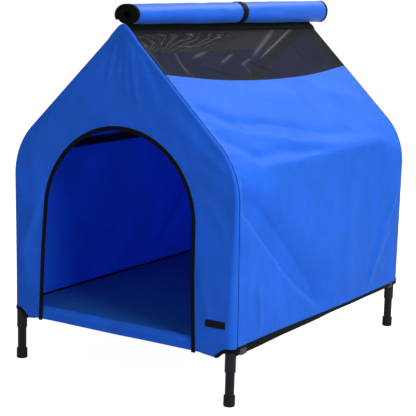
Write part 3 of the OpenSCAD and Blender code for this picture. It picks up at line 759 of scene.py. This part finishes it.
def woven_cloth(f, colour, glow, roughness, shine):
    """Plain-woven polyester: crossed threads, slubs, soft mottling, and some light let through."""
    u, v, place = f.coordinates()
    weave = f.math("MULTIPLY", f.wave(u, WEAVE), f.wave(v, WEAVE))
    weave = f.math("MULTIPLY_ADD", weave, 0.5, 0.5)
    along = f.node("CombineXYZ", {"X": f.math("MULTIPLY", u, 18.0), "Y": f.math("MULTIPLY", v, 900.0)})
    slubs = f.noise(along.outputs[0], 1.0, 1.0)
    mottle = f.noise(place, 9.0, 3.0, 0.55)
    share = f.math("ADD", f.math("MULTIPLY", mottle, 0.7), f.math("MULTIPLY", slubs, 0.3))
    base = f.tint(colour, share, 0.74, 1.26)
    normal = f.bump(f.noise(place, 46.0, 3.0, 0.6), 0.0016, 0.6)
    normal = f.bump(weave, 0.00005, 0.6, Normal=normal)
    cloth = f.principled(
        Base_Color=base, Roughness=roughness, Normal=normal, Specular_IOR_Level=shine,
        Sheen_Weight=2 * shine, Sheen_Roughness=0.35, Sheen_Tint=(0.35, 0.85, 1.0, 1.0),
    )
    if not glow:
        return f.surface(cloth)
    deep = f.tint([c**DEEPER for c in colour], share, 0.72, 1.22)
    return f.mixed(glow, cloth, f.node("BsdfTranslucent", {"Color": deep, "Normal": normal}))


def open_mesh(f, colour, pitch, thread):
    """Net of slanting threads with see-through diamond holes: covered where either sine is low.

    The points' folds, from 0 to 1, close holes and make the yarn paler, a painted highlight along the folds.
    """
    u, v, place = f.coordinates()
    rising, falling = (
        f.math("ABSOLUTE", f.math("SINE", f.math("MULTIPLY", f.math(sign, u, v), math.pi / pitch)))
        for sign in ("ADD", "SUBTRACT")
    )
    fold = f.node("Attribute", attribute_name="fold").outputs["Fac"]
    least = f.math("ADD", f.math("MULTIPLY", fold, 0.22), math.sin(math.pi / 2 * thread))
    hole = f.math("GREATER_THAN", f.math("MINIMUM", rising, falling), least)
    base = f.tint(colour, f.noise(place, 14.0, 3.0), 0.7, 1.4)
    # Painted highlight: the yarn turns paler along the folds
    base = f.blend(f.math("MULTIPLY", fold, 0.6), base, (0.16, 0.165, 0.19, 1.0))
    normal = f.bump(f.noise(place, 60.0, 2.0), 0.0008, 0.5)
    yarn = f.principled(Base_Color=base, Roughness=0.5, Normal=normal, Specular_IOR_Level=0.004)
    return f.mixed(hole, yarn, f.node("BsdfTransparent"))


def sewn_tape(f, colour, rib, stitch_at, roughness):
    """Ribbed tape with rows of stitches at that distance either side of its middle."""
    u, v, place = f.coordinates()
    ribs = f.math("MULTIPLY_ADD", f.wave(u, rib), 0.5, 0.5)
    beside = f.math("ABSOLUTE", f.math("SUBTRACT", f.math("ABSOLUTE", v), stitch_at))
    row = f.math("LESS_THAN", beside, STITCH_HALF)
    dash = f.math("FRACT", f.math("MULTIPLY", u, 1 / STITCH_PITCH))
    stitch = f.math("MULTIPLY", row, f.math("LESS_THAN", dash, STITCH_SHARE))
    wear = f.noise(place, 70.0, 4.0, 0.6)
    base = f.blend(stitch, f.tint(colour, wear, 0.6, 1.5), [c * 2.4 for c in colour] + [1])
    normal = f.bump(stitch, 0.0003, 0.8, Normal=f.bump(ribs, 0.00012, 0.7))
    tape = f.principled(Base_Color=base, Roughness=roughness, Normal=normal, Specular_IOR_Level=0.020)
    return f.surface(tape)


def loop_pile(f, colour):
    """Hook-and-loop: dark pile with pale lint caught in it."""
    place = f.coordinates()[2]
    pile = f.noise(place, 1400.0, 2.0, 0.7)
    lint = f.math("GREATER_THAN", f.noise(place, 260.0, 3.0, 0.65), 0.64)
    base = f.blend(lint, f.tint(colour, pile, 0.5, 1.8), [0.40, 0.41, 0.46, 1])
    return f.surface(f.principled(Base_Color=base, Roughness=0.85, Normal=f.bump(pile, 0.0006, 0.9)))


def powder_coat(f, colour, roughness, grain, height):
    """Black finish with a fine orange-peel grain and slightly worn high spots."""
    place = f.coordinates()[2]
    smudge = f.noise(place, 24.0, 4.0, 0.6)
    rough = f.math("MULTIPLY_ADD", smudge, 0.22, roughness - 0.11)
    base = f.tint(colour, smudge, 0.75, 1.35)
    normal = f.bump(f.noise(place, grain), height, 0.6)
    return f.surface(f.principled(Base_Color=base, Roughness=rough, Normal=normal, Specular_IOR_Level=0.10))


def seen_white(f):
    """1 for the rays that see the studio as plain white, and 0 for those that light the house."""
    kinds = f.node("LightPath").outputs
    seen = kinds["Is Camera Ray"]
    for ray in ("Is Glossy Ray", "Is Transmission Ray"):
        seen = f.math("MAXIMUM", seen, kinds[ray])
    return seen


def studio_white(f, share):
    """Pale floor: a diffuse part that takes shadows, and white for camera, glossy and transmission rays."""
    lit = f.node("BsdfDiffuse", {"Color": (share, share, share, 1)})
    white = f.node("Emission", {"Strength": f.math("MULTIPLY", seen_white(f), 1.0 - share * 0.12)})
    return f.surface(f.node("AddShader", {0: lit.outputs[0], 1: white.outputs[0]}))


# Settings


def number_of(name, description, default, **more):
    """A number with its kind or unit."""
    return FloatProperty(name=name, description=description, default=default, **more)


def length_of(name, description, default):
    """A length in metres."""
    return number_of(name, description, default, unit="LENGTH", precision=4)


def angle_of(name, description, degrees):
    """An angle, given in degrees and kept in radians."""
    return number_of(name, description, math.radians(degrees), subtype="ANGLE")


def power_of(name, description, default):
    """A light's power in watts."""
    return number_of(name, description, default, subtype="POWER")


def colour_of(name, description, default):
    """A linear colour."""
    return FloatVectorProperty(
        name=name, description=description, default=default, subtype="COLOR", size=3, min=0, max=1
    )


class PetHouseSizes(PropertyGroup):
    """Sizes of the cloth pieces."""

    cloth: length_of("Cloth", "Thickness of the cover cloth", 0.0011)
    corner: length_of("Corner round", "Radius of the cover's corners over the roof and at the rear", 0.006)
    sag: length_of("Sag", "How far the cover falls in between the hoops", 0.0105)
    creases: number_of("Creases", "Height of the creases", 1.0, min=0, max=2, subtype="FACTOR")
    binding: length_of("Binding", "Width of the doorway's binding", 0.011)
    tape: length_of("Tape", "Thickness of tapes and webbing", 0.0012)
    notch_tape: length_of("Notch tape", "Width of the tape round a leg notch", 0.009)
    mesh_pitch: length_of("Mesh pitch", "Distance between the mesh's threads", 0.0018)


class PetHouseColours(PropertyGroup):
    """Colours of the finishes."""

    cloth: colour_of("Cloth", "Cover cloth", (0.0195, 0.162, 0.815))
    rolled: colour_of("Rolled cloth", "Roof flap's cloth", (0.0110, 0.1000, 0.5900))
    # The floor is the cover's blue painted darker: painted shade inside the house
    floor: colour_of("Floor", "Floor cloth", (0.0120, 0.095, 0.400))
    mesh: colour_of("Mesh", "Mesh yarn", (0.0130, 0.0135, 0.0170))
    binding: colour_of("Binding", "Bindings and tapes", (0.0042, 0.0040, 0.0045))
    seam: colour_of("Seams", "Cord of the seams", (0.012, 0.014, 0.030))
    patch: colour_of("Patch", "Bare patch", (0.010, 0.0065, 0.010))
    pile: colour_of("Tabs", "Pile of the corner tabs", (0.010, 0.010, 0.012))
    metal: colour_of("Frame", "Powder coat of the tubes", (0.0060, 0.0060, 0.0085))
    plastic: colour_of("Sockets", "Plastic joints", (0.0100, 0.0100, 0.0150))
    rubber: colour_of("Feet", "Rubber caps", (0.0080, 0.0080, 0.0095))


class PetHouseStage(PropertyGroup):
    """Camera and light."""

    azimuth: angle_of("Azimuth", "Camera angle round the house", 32.107)
    elevation: angle_of("Elevation", "Camera angle above the level", 10.2058)
    roll: angle_of("Roll", "Camera tilt", 1.6516)
    distance: length_of("Distance", "Camera distance from its target", 3.3456)
    key: power_of("Key light", "Power of the key light", 78.0)
    front: power_of("Front light", "Power of the low light before the doorway", 14.5)
    fill: power_of("Fill light", "Power of the light behind", 102.0)
    sky: number_of("Sky", "Strength of the even light", 0.30, min=0, max=2)


def sizes():
    """The settings of the cloth pieces."""
    return bpy.context.scene.pet_house_sizes


def cloth_finish():
    """Finish of the cover."""
    return finish_of("Blue woven cloth", woven_cloth, "cloth", glow=0.34, roughness=0.60, shine=0.11)


def tape_finish():
    """Finish of the bindings, the hem tapes and the ridge band."""
    return finish_of("Black binding", sewn_tape, "binding", rib=0.0011, stitch_at=0.0036, roughness=0.62)


# Operators


class PETHOUSE_OT_stage(Operator):
    """Adds the camera, the lights, the floor and the white surroundings."""

    bl_idname = "pet_house.add_stage"
    bl_label = "Stage"

    def execute(self, context):
        stage = context.scene.pet_house_stage
        self.camera(context, stage.azimuth, stage.elevation, stage.roll, stage.distance)
        self.light(context, "Key", (2.62, -0.80, 1.80), size=1.6, power=stage.key)
        self.light(context, "Front", (0.35, -2.90, 0.45), size=1.3, power=stage.front)
        greenish = (0.90, 1.0, 0.86)
        self.light(context, "Back", (0.50, 2.20, 3.00), size=1.8, power=stage.fill, colour=greenish)
        self.surroundings(context, stage.sky)
        corners = ((-1, -1, 0), (1, -1, 0), (1, 1, 0), (-1, 1, 0))
        points = FLOOR_HALF * np.array(corners)
        white = studio_white(Nodes(bpy.data.materials.new("Studio white"), "Material"), FLOOR_WHITE)
        new_piece("Studio_floor", points, [[0, 1, 2, 3]], points[:, :2], white)
        context.scene.view_settings.view_transform = "Standard"
        return {"FINISHED"}

    def camera(self, context, az, el, roll, distance):
        """The camera that took the photograph, from its angles and its distance to the target."""
        back = Vector((math.sin(az) * math.cos(el), -math.cos(az) * math.cos(el), math.sin(el)))
        level = (-back).cross(Vector((0, 0, 1))).normalized()
        up = level.cross(-back)
        right = math.cos(roll) * level + math.sin(roll) * up
        top = math.cos(roll) * up - math.sin(roll) * level
        lens = bpy.data.cameras.new("Photograph")
        lens.sensor_width = SENSOR_MM
        lens.lens = SENSOR_MM * FOCAL_PX / PHOTO_PX
        camera = bpy.data.objects.new("Photograph", lens)
        context.scene.collection.objects.link(camera)
        turn = Matrix((right, top, back)).transposed().to_4x4()
        camera.matrix_world = Matrix.Translation(CAMERA_AIM + back * distance) @ turn
        context.scene.camera = camera

    def light(self, context, name, place, size, power, colour=(1.0, 1.0, 1.0)):
        """A square soft light that looks at the middle of the house."""
        lamp = bpy.data.lights.new(name, "AREA")
        lamp.energy = power
        lamp.color = colour
        lamp.size = size
        obj = bpy.data.objects.new(name, lamp)
        context.scene.collection.objects.link(obj)
        obj.location = place
        aim = LIGHT_AIM - Vector(place)
        obj.rotation_euler = aim.to_track_quat("-Z", "Y").to_euler()

    def surroundings(self, context, sky):
        """Even light of strength sky, which camera, glossy and transmission rays see as white."""
        context.scene.world = bpy.data.worlds.new("Studio")
        f = Nodes(context.scene.world, "World")
        strength = f.node("MapRange", {"Value": seen_white(f), "To Min": sky, "To Max": 1.05})
        f.surface(f.node("Background", {"Color": (1, 1, 1, 1), "Strength": strength.outputs[0]}))


class PETHOUSE_OT_frame_finish(Operator):
    """Gives the tubes, plastic joints and rubber feet their finishes."""

    bl_idname = "pet_house.finish_frame"
    bl_label = "Frame finish"

    def execute(self, context):
        of_slot = {}
        for kind, name, colour, roughness, grain, height in (
            ("frame_steel", "Powder coat", "metal", 0.40, 1100.0, 0.00012),
            ("socket_plastic", "Moulded plastic", "plastic", 0.52, 1900.0, 0.00006),
            ("foot_rubber", "Foot rubber", "rubber", 0.68, 900.0, 0.00010),
        ):
            look = {"roughness": roughness, "grain": grain, "height": height}
            of_slot[kind] = finish_of(name, powder_coat, colour, **look)
        for part in frame["record"]["subparts"]:
            if part["material_slot"] in of_slot:
                for slot in frame["nodes"][part["node"]].material_slots:
                    slot.material = of_slot[part["material_slot"]]
        return {"FINISHED"}


class PETHOUSE_OT_floor(Operator):
    """Adds the floor cloth, wrapped round the base rails and painted darker than the cover as painted shade
    inside, with a lip of the cover's cloth in front.
    """

    bl_idname = "pet_house.add_floor"
    bl_label = "Floor"

    def execute(self, context):
        hang_x, hang_y = RAIL_Z - side_tape_low(1.0), RAIL_Z - FRONT_HEM
        x, x_len, x_drop = self.over_rail(LEG_X, hang_x, 150)
        y, y_len, y_drop = self.over_rail(HALF_D, hang_y, 190)
        gx, gy = np.meshgrid(x, y)
        in_x, in_y = LEG_X - np.abs(gx), HALF_D - np.abs(gy)
        sag = 0.006 * smooth(in_x / 0.25) * smooth(in_y / 0.25)
        sag = sag + 0.0006 * cloud(gx, gy, 0.09, 51) * smooth(in_x / 0.03)
        points = stack(gx, MIDDLE_Y + gy, RAIL_Z + RAIL_R - x_drop - y_drop[:, None] - sag)
        cut = (np.maximum(in_x, in_y) < ARM_LEN - 1e-6) & (np.minimum(in_x, in_y) < ARM_HALF)
        cut_quad = cut[:-1, :-1] | cut[1:, :-1] | cut[:-1, 1:] | cut[1:, 1:]
        # Painted shade: the floor's colour is darker than the cover's; the lip in front keeps the cover's own
        # colour
        finish = finish_of("Floor cloth", woven_cloth, "floor", glow=0.06, roughness=0.9, shine=0.02)
        uv = stack(x_len, y_len[:, None])
        floor = grid_piece("floor_cloth", points, uv, finish, sizes().cloth, flip=True, drop=cut_quad)
        floor.data.materials.append(cloth_finish())
        centre = np.zeros(3 * len(floor.data.polygons))
        floor.data.polygons.foreach_get("center", centre)
        lip = centre.reshape(-1, 3)[:, 1] < FRONT_Y + 0.002
        floor.data.polygons.foreach_set("material_index", lip.astype(np.int32))
        dress(floor, "house", "floor_cloth", "floor_bed")
        # A black strip along the floor's edge over each side rail, where floor and wall meet
        for side, word in SIDES:
            y = np.linspace(FRONT_Y + ARM_LEN, REAR_Y - ARM_LEN, 80)
            x = side * (LEG_X + 0.001) + 0.0005 * cloud(y, 0, 0.08, 55)
            path = stack(x, y, RAIL_Z + RAIL_R + 0.0006)
            tape = ribbon("floor_edge_tape_" + word, path, (0, 0, 1), 0.012, 0.0026, tape_finish(), 4.0, 14)
            dress(tape, "house", "black_binding")
        return {"FINISHED"}

    def over_rail(self, half, hang, count):
        """Places, lengths along the cloth and drop of a cloth that lies flat, turns and hangs.

        The cloth's length past the rail's centre turns through a quarter circle, then
        drops straight.
        """
        quarter = RAIL_R * math.pi / 2
        flat = np.linspace(0, half - ARM_LEN, count // 2)
        over = [np.linspace(half - ARM_LEN, half, 8)[1:], half + np.linspace(0, quarter, 10)[1:]]
        lengths = np.concatenate([flat, *over, half + quarter + np.linspace(0, hang, 6)[1:]])
        turn = np.clip((lengths - half) / RAIL_R, 0, math.pi / 2)
        place = np.minimum(lengths, half) + RAIL_R * np.sin(turn)
        drop = RAIL_R * (1 - np.cos(turn)) + np.maximum(lengths - half - quarter, 0)
        halves = ((-1, place), (-1, lengths), (1, drop))
        return [np.concatenate([sign * line[:0:-1], line]) for sign, line in halves]


def end_cloth(word, points, uv, flip, opening):
    """The front or the rear cloth, dressed on the house; its opening is not used."""
    cloth = grid_piece("cloth_" + word, points, uv, cloth_finish(), sizes().cloth, flip)
    dress(cloth, "house", "blue_cloth", "cover_" + word)


class PETHOUSE_OT_front(Operator):
    """Adds the front cloth with its arched doorway."""

    bl_idname = "pet_house.add_front"
    bl_label = "Front"

    def execute(self, context):
        doorway = 2 * DOOR_HALF * (DOOR_SPRING - FRONT_HEM) + math.pi / 2 * DOOR_HALF * DOOR_RISE
        end_cloth("front", *front_cloth(sizes().corner, sizes().creases), False, doorway)
        return {"FINISHED"}


class PETHOUSE_OT_rear(Operator):
    """Adds the rear cloth."""

    bl_idname = "pet_house.add_rear"
    bl_label = "Rear"

    def execute(self, context):
        end_cloth("rear", *rear_cloth(sizes().corner, sizes().creases), True, 0)
        return {"FINISHED"}


class PETHOUSE_OT_sides(Operator):
    """Adds the left and right cloth, wall and lower roof in one."""

    bl_idname = "pet_house.add_sides"
    bl_label = "Sides"

    def execute(self, context):
        for (side, word), lines, seed in zip(SIDES, (RIGHT_CREASES, LEFT_CREASES), (21, 41)):
            points, uv = side_cloth(sizes().corner, sizes().creases, sizes().sag, lines, word, seed)
            points = points * (side, 1, 1)
            cloth = grid_piece("cloth_" + word, points, uv, cloth_finish(), sizes().cloth, flip=side > 0)
            dress(cloth, "house", "blue_cloth", "cover_" + word)
        return {"FINISHED"}


class PETHOUSE_OT_mesh(Operator):
    """Adds the mesh windows in the roof."""

    bl_idname = "pet_house.add_mesh_windows"
    bl_label = "Mesh windows"

    def execute(self, context):
        pitch, sag, inset = sizes().mesh_pitch, sizes().sag, sizes().corner * 0.6
        finish = finish_of("Black mesh", open_mesh, "mesh", pitch=pitch, thread=0.68)
        front, rear = FACE_Y + inset, BACK_Y - inset
        for (side, word), seed in zip(SIDES, (81, 91)):
            mirror = (side, 1, 1)
            points, uv = mesh_cloth(front, rear, 300, sag, word, seed, MESH_OUT)
            cloth = grid_piece("mesh_" + word, points * mirror, uv, finish, flip=side < 0)
            # Folds close the mesh's holes and carry a painted highlight on the yarn
            fold = cloth.data.attributes.new("fold", "FLOAT", "POINT")
            share = creases(uv[..., 0], uv[..., 1], MESH_FOLD_HIGHLIGHTS)
            fold.data.foreach_set("value", share.astype(np.float32).ravel())
            dress(cloth, "house", "black_mesh", "mesh_window_" + word)
            for end, y0, y1 in (("front", front, front + MESH_HEM), ("rear", rear - MESH_HEM, rear)):
                points, uv = mesh_cloth(y0, y1, 8, sag, word, seed, MESH_OUT - 0.0009)
                folded = uv + (pitch / 2, 0)
                edge = grid_piece(f"mesh_hem_{end}_{word}", points * mirror, folded, finish, flip=side < 0)
                dress(edge, "house", "black_mesh")
        return {"FINISHED"}


class PETHOUSE_OT_band(Operator):
    """Adds the black band over the ridge."""

    bl_idname = "pet_house.add_ridge_band"
    bl_label = "Ridge band"

    def execute(self, context):
        band = grid_piece("ridge_tape", *band_cloth(), tape_finish(), sizes().tape, flip=True)
        dress(band, "house", "black_binding", "ridge_band")
        return {"FINISHED"}


class PETHOUSE_OT_door_binding(Operator):
    """Adds the binding round the doorway."""

    bl_idname = "pet_house.add_door_binding"
    bl_label = "Doorway binding"

    def execute(self, context):
        width = sizes().binding
        x, z = door_curve(np.linspace(-1, 1, 241), -width / 2)
        path = stack(x, FACE_Y + 0.0004, z)
        under = (0, 0, -0.003)
        path = np.concatenate([path[:1] + under, path, path[-1:] + under])
        binding = ribbon("door_edge_binding", path, (0, -1, 0), width, 0.0034, tape_finish(), 3.0, 18)
        dress(binding, "house", "black_binding", "door_binding")
        return {"FINISHED"}


class PETHOUSE_OT_hem_tapes(Operator):
    """Adds the tapes under the sides and round the leg notches."""

    bl_idname = "pet_house.add_hem_tapes"
    bl_label = "Hem tapes"

    def execute(self, context):
        radius, wide = sizes().corner, sizes().notch_tape
        for side, word in SIDES:
            v = np.linspace(0, 1, 160)
            y = mix(FACE_Y + HEM_ROUND - 0.003, BACK_Y - radius + 0.003, v)
            top = side_hem(v)
            low = side_tape_low(v) + 0.0005 * cloud(y, 0, 0.06, 101)
            x = LEG_X + COVER_OUT - 0.0004 + 0.0006 * cloud(y, 0, 0.09, 102)
            path = stack(side * x, y, (top + low) / 2)
            width = top - low + 0.002
            tape = ribbon("hem_tape_" + word, path, (side, 0, 0), width, 0.0030, tape_finish(), 5.0, 18)
            dress(tape, "house", "black_binding", "side_hem_tape_" + word)
            for end, letter, face, turn in ((-1, "f", FACE_Y, HEM_ROUND), (1, "r", BACK_Y, radius)):
                name = letter + word[0]
                path, out = self.notch(end, face, turn, wide)
                path, out = path * (side, 1, 1), out * (side, 1, 1)
                tape = ribbon("notch_tape_" + name, path, out, wide, 0.0028, tape_finish(), 4.0, 14)
                dress(tape, "house", "black_binding", "notch_binding_" + name)
        return {"FINISHED"}

    def notch(self, end, face, radius, wide):
        """Middle line and outward direction of a right notch's tape: its edge, then the corner."""
        x = np.linspace(LEG_X - NOTCH_IN - wide / 2, LEG_X + COVER_OUT - radius, 34)
        z = np.convolve(np.pad(lower_edge(x), 4, mode="edge"), np.ones(9) / 9, mode="valid")
        z = z + wide / 2 - 0.001
        off, depth, wrap = corner_turn(12, radius)
        run = np.linspace(0, 0.001, 4)[1:]
        phi = np.append(wrap / radius, math.pi / 2 + 0 * run)
        turn_x = LEG_X + np.append(off, COVER_OUT + 0 * run)
        turn_y = face - end * np.append(depth, radius + run)
        path = np.concatenate([stack(x, face, z), stack(turn_x, turn_y, z[-1])])
        return path, np.concatenate([stack(0 * x, end, 0), stack(np.sin(phi), end * np.cos(phi), 0)])


class PETHOUSE_OT_seams(Operator):
    """Adds the dark cord of the seams along the cover's four upright corners."""

    bl_idname = "pet_house.add_seams"
    bl_label = "Seams"

    def execute(self, context):
        radius = sizes().corner
        finish = finish_of("Seam cord", sewn_tape, "seam", rib=0.0009, stitch_at=0.0100, roughness=0.7)
        u = np.linspace(RAIL_Z - BEND_Z, RIDGE_AT - 0.012, 260)
        x, z = section(u, COVER_OUT - 0.0004)
        out_x, out_z = section(u, COVER_OUT + 0.01)
        for side, word in SIDES:
            for place, y in (("front", FACE_Y + front_round(radius, u)), ("rear", BACK_Y - radius)):
                path, out = stack(side * x, y, z), stack(side * (out_x - x), 0, out_z - z)
                cord = ribbon(f"seam_{place}_{word}", path, out, 0.0015, 0.0013, finish, 2.0, 8)
                dress(cord, "house", "black_binding")
        return {"FINISHED"}


class PETHOUSE_OT_patch(Operator):
    """Adds the bare patch at the lower right of the front."""

    bl_idname = "pet_house.add_patch"
    bl_label = "Patch"

    def execute(self, context):
        low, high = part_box("blank_patch")
        x = np.linspace(low.x, high.x, 30)
        lift = 0.0006 + 0.0012 * smooth(np.minimum(x - low.x, high.x - x) / 0.015)
        path = stack(x, FACE_Y - lift, (low.z + high.z) / 2)
        finish = finish_of("Patch cloth", sewn_tape, "patch", rib=0.0007, stitch_at=0.0072, roughness=0.5)
        patch = ribbon("patch_cloth_bare", path, (0, -1, 0), high.z - low.z, 0.0012, finish, 8.0, 24)
        dress(patch, "house", "patch_cloth", "blank_patch")
        return {"FINISHED"}


class PETHOUSE_OT_roll(Operator):
    """Adds the rolled roof flap, its bound ends, whose binding reaches deep into the core as painted shade,
    and its neck.
    """

    bl_idname = "pet_house.add_roll"
    bl_label = "Rolled flap"

    def execute(self, context):
        y0, y1 = ROLL_LOW.y, ROLL_HIGH.y
        points, uv = roll_cloth(y0 + 0.0006, y1 - 0.0006, 170, 0.0)
        # In many layers, no light comes through
        finish = finish_of("Rolled woven cloth", woven_cloth, "rolled", glow=0.0, roughness=0.45, shine=0.07)
        roll = grid_piece("flap_roll_cloth", points, uv, finish, thickness=0.0014, flip=True)
        dress(roll, "roof_flap", "blue_cloth", "roof_flap_roll")
        # The bound ends: black binding at the outer turn, which reaches deeper on the inner turns as painted
        # shade of the roll's hollow core
        deep = 0.009 * (1 + 4 * smooth(TURNS - 0.8))
        for name, a, b in (("front", y0, y0 + deep), ("rear", y1 - deep, y1)):
            points, uv = roll_cloth(a, b, 12, -0.0006)
            edge = grid_piece("flap_roll_edge_" + name, points, uv, tape_finish(), thickness=0.004, flip=True)
            dress(edge, "roof_flap", "black_binding")
        self.neck(y0)
        return {"FINISHED"}

    def neck(self, y0):
        """The neck: flat on the band, from its sewn edge up to the underside of the roll."""
        y = np.linspace(y0, BACK_Y - 0.002, 110)[:, None]
        low = np.minimum(SEAM_S, band_drop((y - FACE_Y) / COVER_LEN) - 0.0005)
        s = mix(low, 0.0085, np.linspace(0, 1, 12)[None, :])
        x, z = section(RIDGE_AT - s, BAND_OUT + 0.0015 + 0.0002 * cloud(y, s, 0.03, 111))
        neck = grid_piece("flap_neck_tape", stack(x, y, z), stack(y, s), tape_finish(), sizes().tape)
        dress(neck, "roof_flap", "black_binding", "flap_neck")


class PETHOUSE_OT_strap(Operator):
    """Adds the strap that ties the roll, in an opening upper half and a sewn lower end."""

    bl_idname = "pet_house.add_strap"
    bl_label = "Tie strap"

    def execute(self, context):
        look = {"rib": 0.0017, "stitch_at": 0.0060, "roughness": 0.55}
        finish = finish_of("Black webbing", sewn_tape, "binding", **look)
        low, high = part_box("flap_tie")
        a, b, lean, mid = roll_oval(TIE_Y)
        over = 0.0010
        for name, start, end, body, nodes in (
            ("tie_strap", 180, 4, "tie", ["flap_tie"]),
            ("tie_strap_end", 2, -58, "roof_flap", []),
        ):
            angle = np.radians(np.linspace(start, end, 60))
            x, z = lean + (a + over) * np.cos(angle), mid + (b + over) * np.sin(angle)
            path = stack(x, TIE_Y + 0.002 * np.sin(angle), z)
            out = stack(np.cos(angle) / a, 0, np.sin(angle) / b)
            strap = ribbon(name, path, out, high.y - low.y, 0.0014, finish, 5.0, 18)
            dress(strap, body, "black_webbing", *nodes)
        return {"FINISHED"}


class PETHOUSE_OT_tabs(Operator):
    """Adds the four hook-and-loop tabs at the legs."""

    bl_idname = "pet_house.add_corner_tabs"
    bl_label = "Corner tabs"

    def execute(self, context):
        finish = finish_of("Hook and loop", loop_pile, "pile")
        for corner in ("fl", "fr", "rl", "rr"):
            node = "corner_tab_" + corner
            low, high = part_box(node)
            side = 1 if low.x > 0 else -1
            y = np.linspace(low.y, high.y, 36)
            edge = np.minimum(y - low.y, high.y - y)
            rounding = np.sqrt(np.clip(1 - (1 - np.clip(edge / 0.004, 0, 1)) ** 2, 0, 1))
            x = (low.x + high.x) / 2 + side * 0.0004 * np.sin(9 * y / 0.03)
            path = stack(x, y, (low.z + high.z) / 2)
            width = (high.z - low.z) * mix(0.55, 1.0, rounding)
            tab = ribbon("tab_" + corner, path, (side, 0, 0), width, 0.0013, finish, 5.0, 18)
            dress(tab, node, "hook_and_loop", node)
        return {"FINISHED"}


OPERATORS = (
    PETHOUSE_OT_stage,
    PETHOUSE_OT_frame_finish,
    PETHOUSE_OT_floor,
    PETHOUSE_OT_front,
    PETHOUSE_OT_rear,
    PETHOUSE_OT_sides,
    PETHOUSE_OT_mesh,
    PETHOUSE_OT_band,
    PETHOUSE_OT_door_binding,
    PETHOUSE_OT_hem_tapes,
    PETHOUSE_OT_seams,
    PETHOUSE_OT_patch,
    PETHOUSE_OT_roll,
    PETHOUSE_OT_strap,
    PETHOUSE_OT_tabs,
)


class VIEW3D_PT_pet_house(Panel):
    """Sidebar panel with the sizes, the colours and a button for each piece."""

    bl_label = "Pet House"
    bl_space_type = "VIEW_3D"
    bl_region_type = "UI"
    bl_category = "Pet House"

    def draw(self, context):
        for group, _ in GROUPS:
            settings = getattr(context.scene, group)
            box = self.layout.box()
            for name in settings.__annotations__:
                box.prop(settings, name)
        for operator in OPERATORS:
            self.layout.operator(operator.bl_idname)


GROUPS = (
    ("pet_house_sizes", PetHouseSizes),
    ("pet_house_colours", PetHouseColours),
    ("pet_house_stage", PetHouseStage),
)


def register():
    for name, group in GROUPS:
        bpy.utils.register_class(group)
        setattr(bpy.types.Scene, name, PointerProperty(type=group))
    for operator in OPERATORS:
        bpy.utils.register_class(operator)
    bpy.utils.register_class(VIEW3D_PT_pet_house)


def unregister():
    bpy.utils.unregister_class(VIEW3D_PT_pet_house)
    for operator in reversed(OPERATORS):
        bpy.utils.unregister_class(operator)
    for name, group in reversed(GROUPS):
        delattr(bpy.types.Scene, name)
        bpy.utils.unregister_class(group)


def main():
    register()
    for operator in OPERATORS:
        module, call = operator.bl_idname.split(".")
        getattr(getattr(bpy.ops, module), call)()


if __name__ == "__main__":
    main()
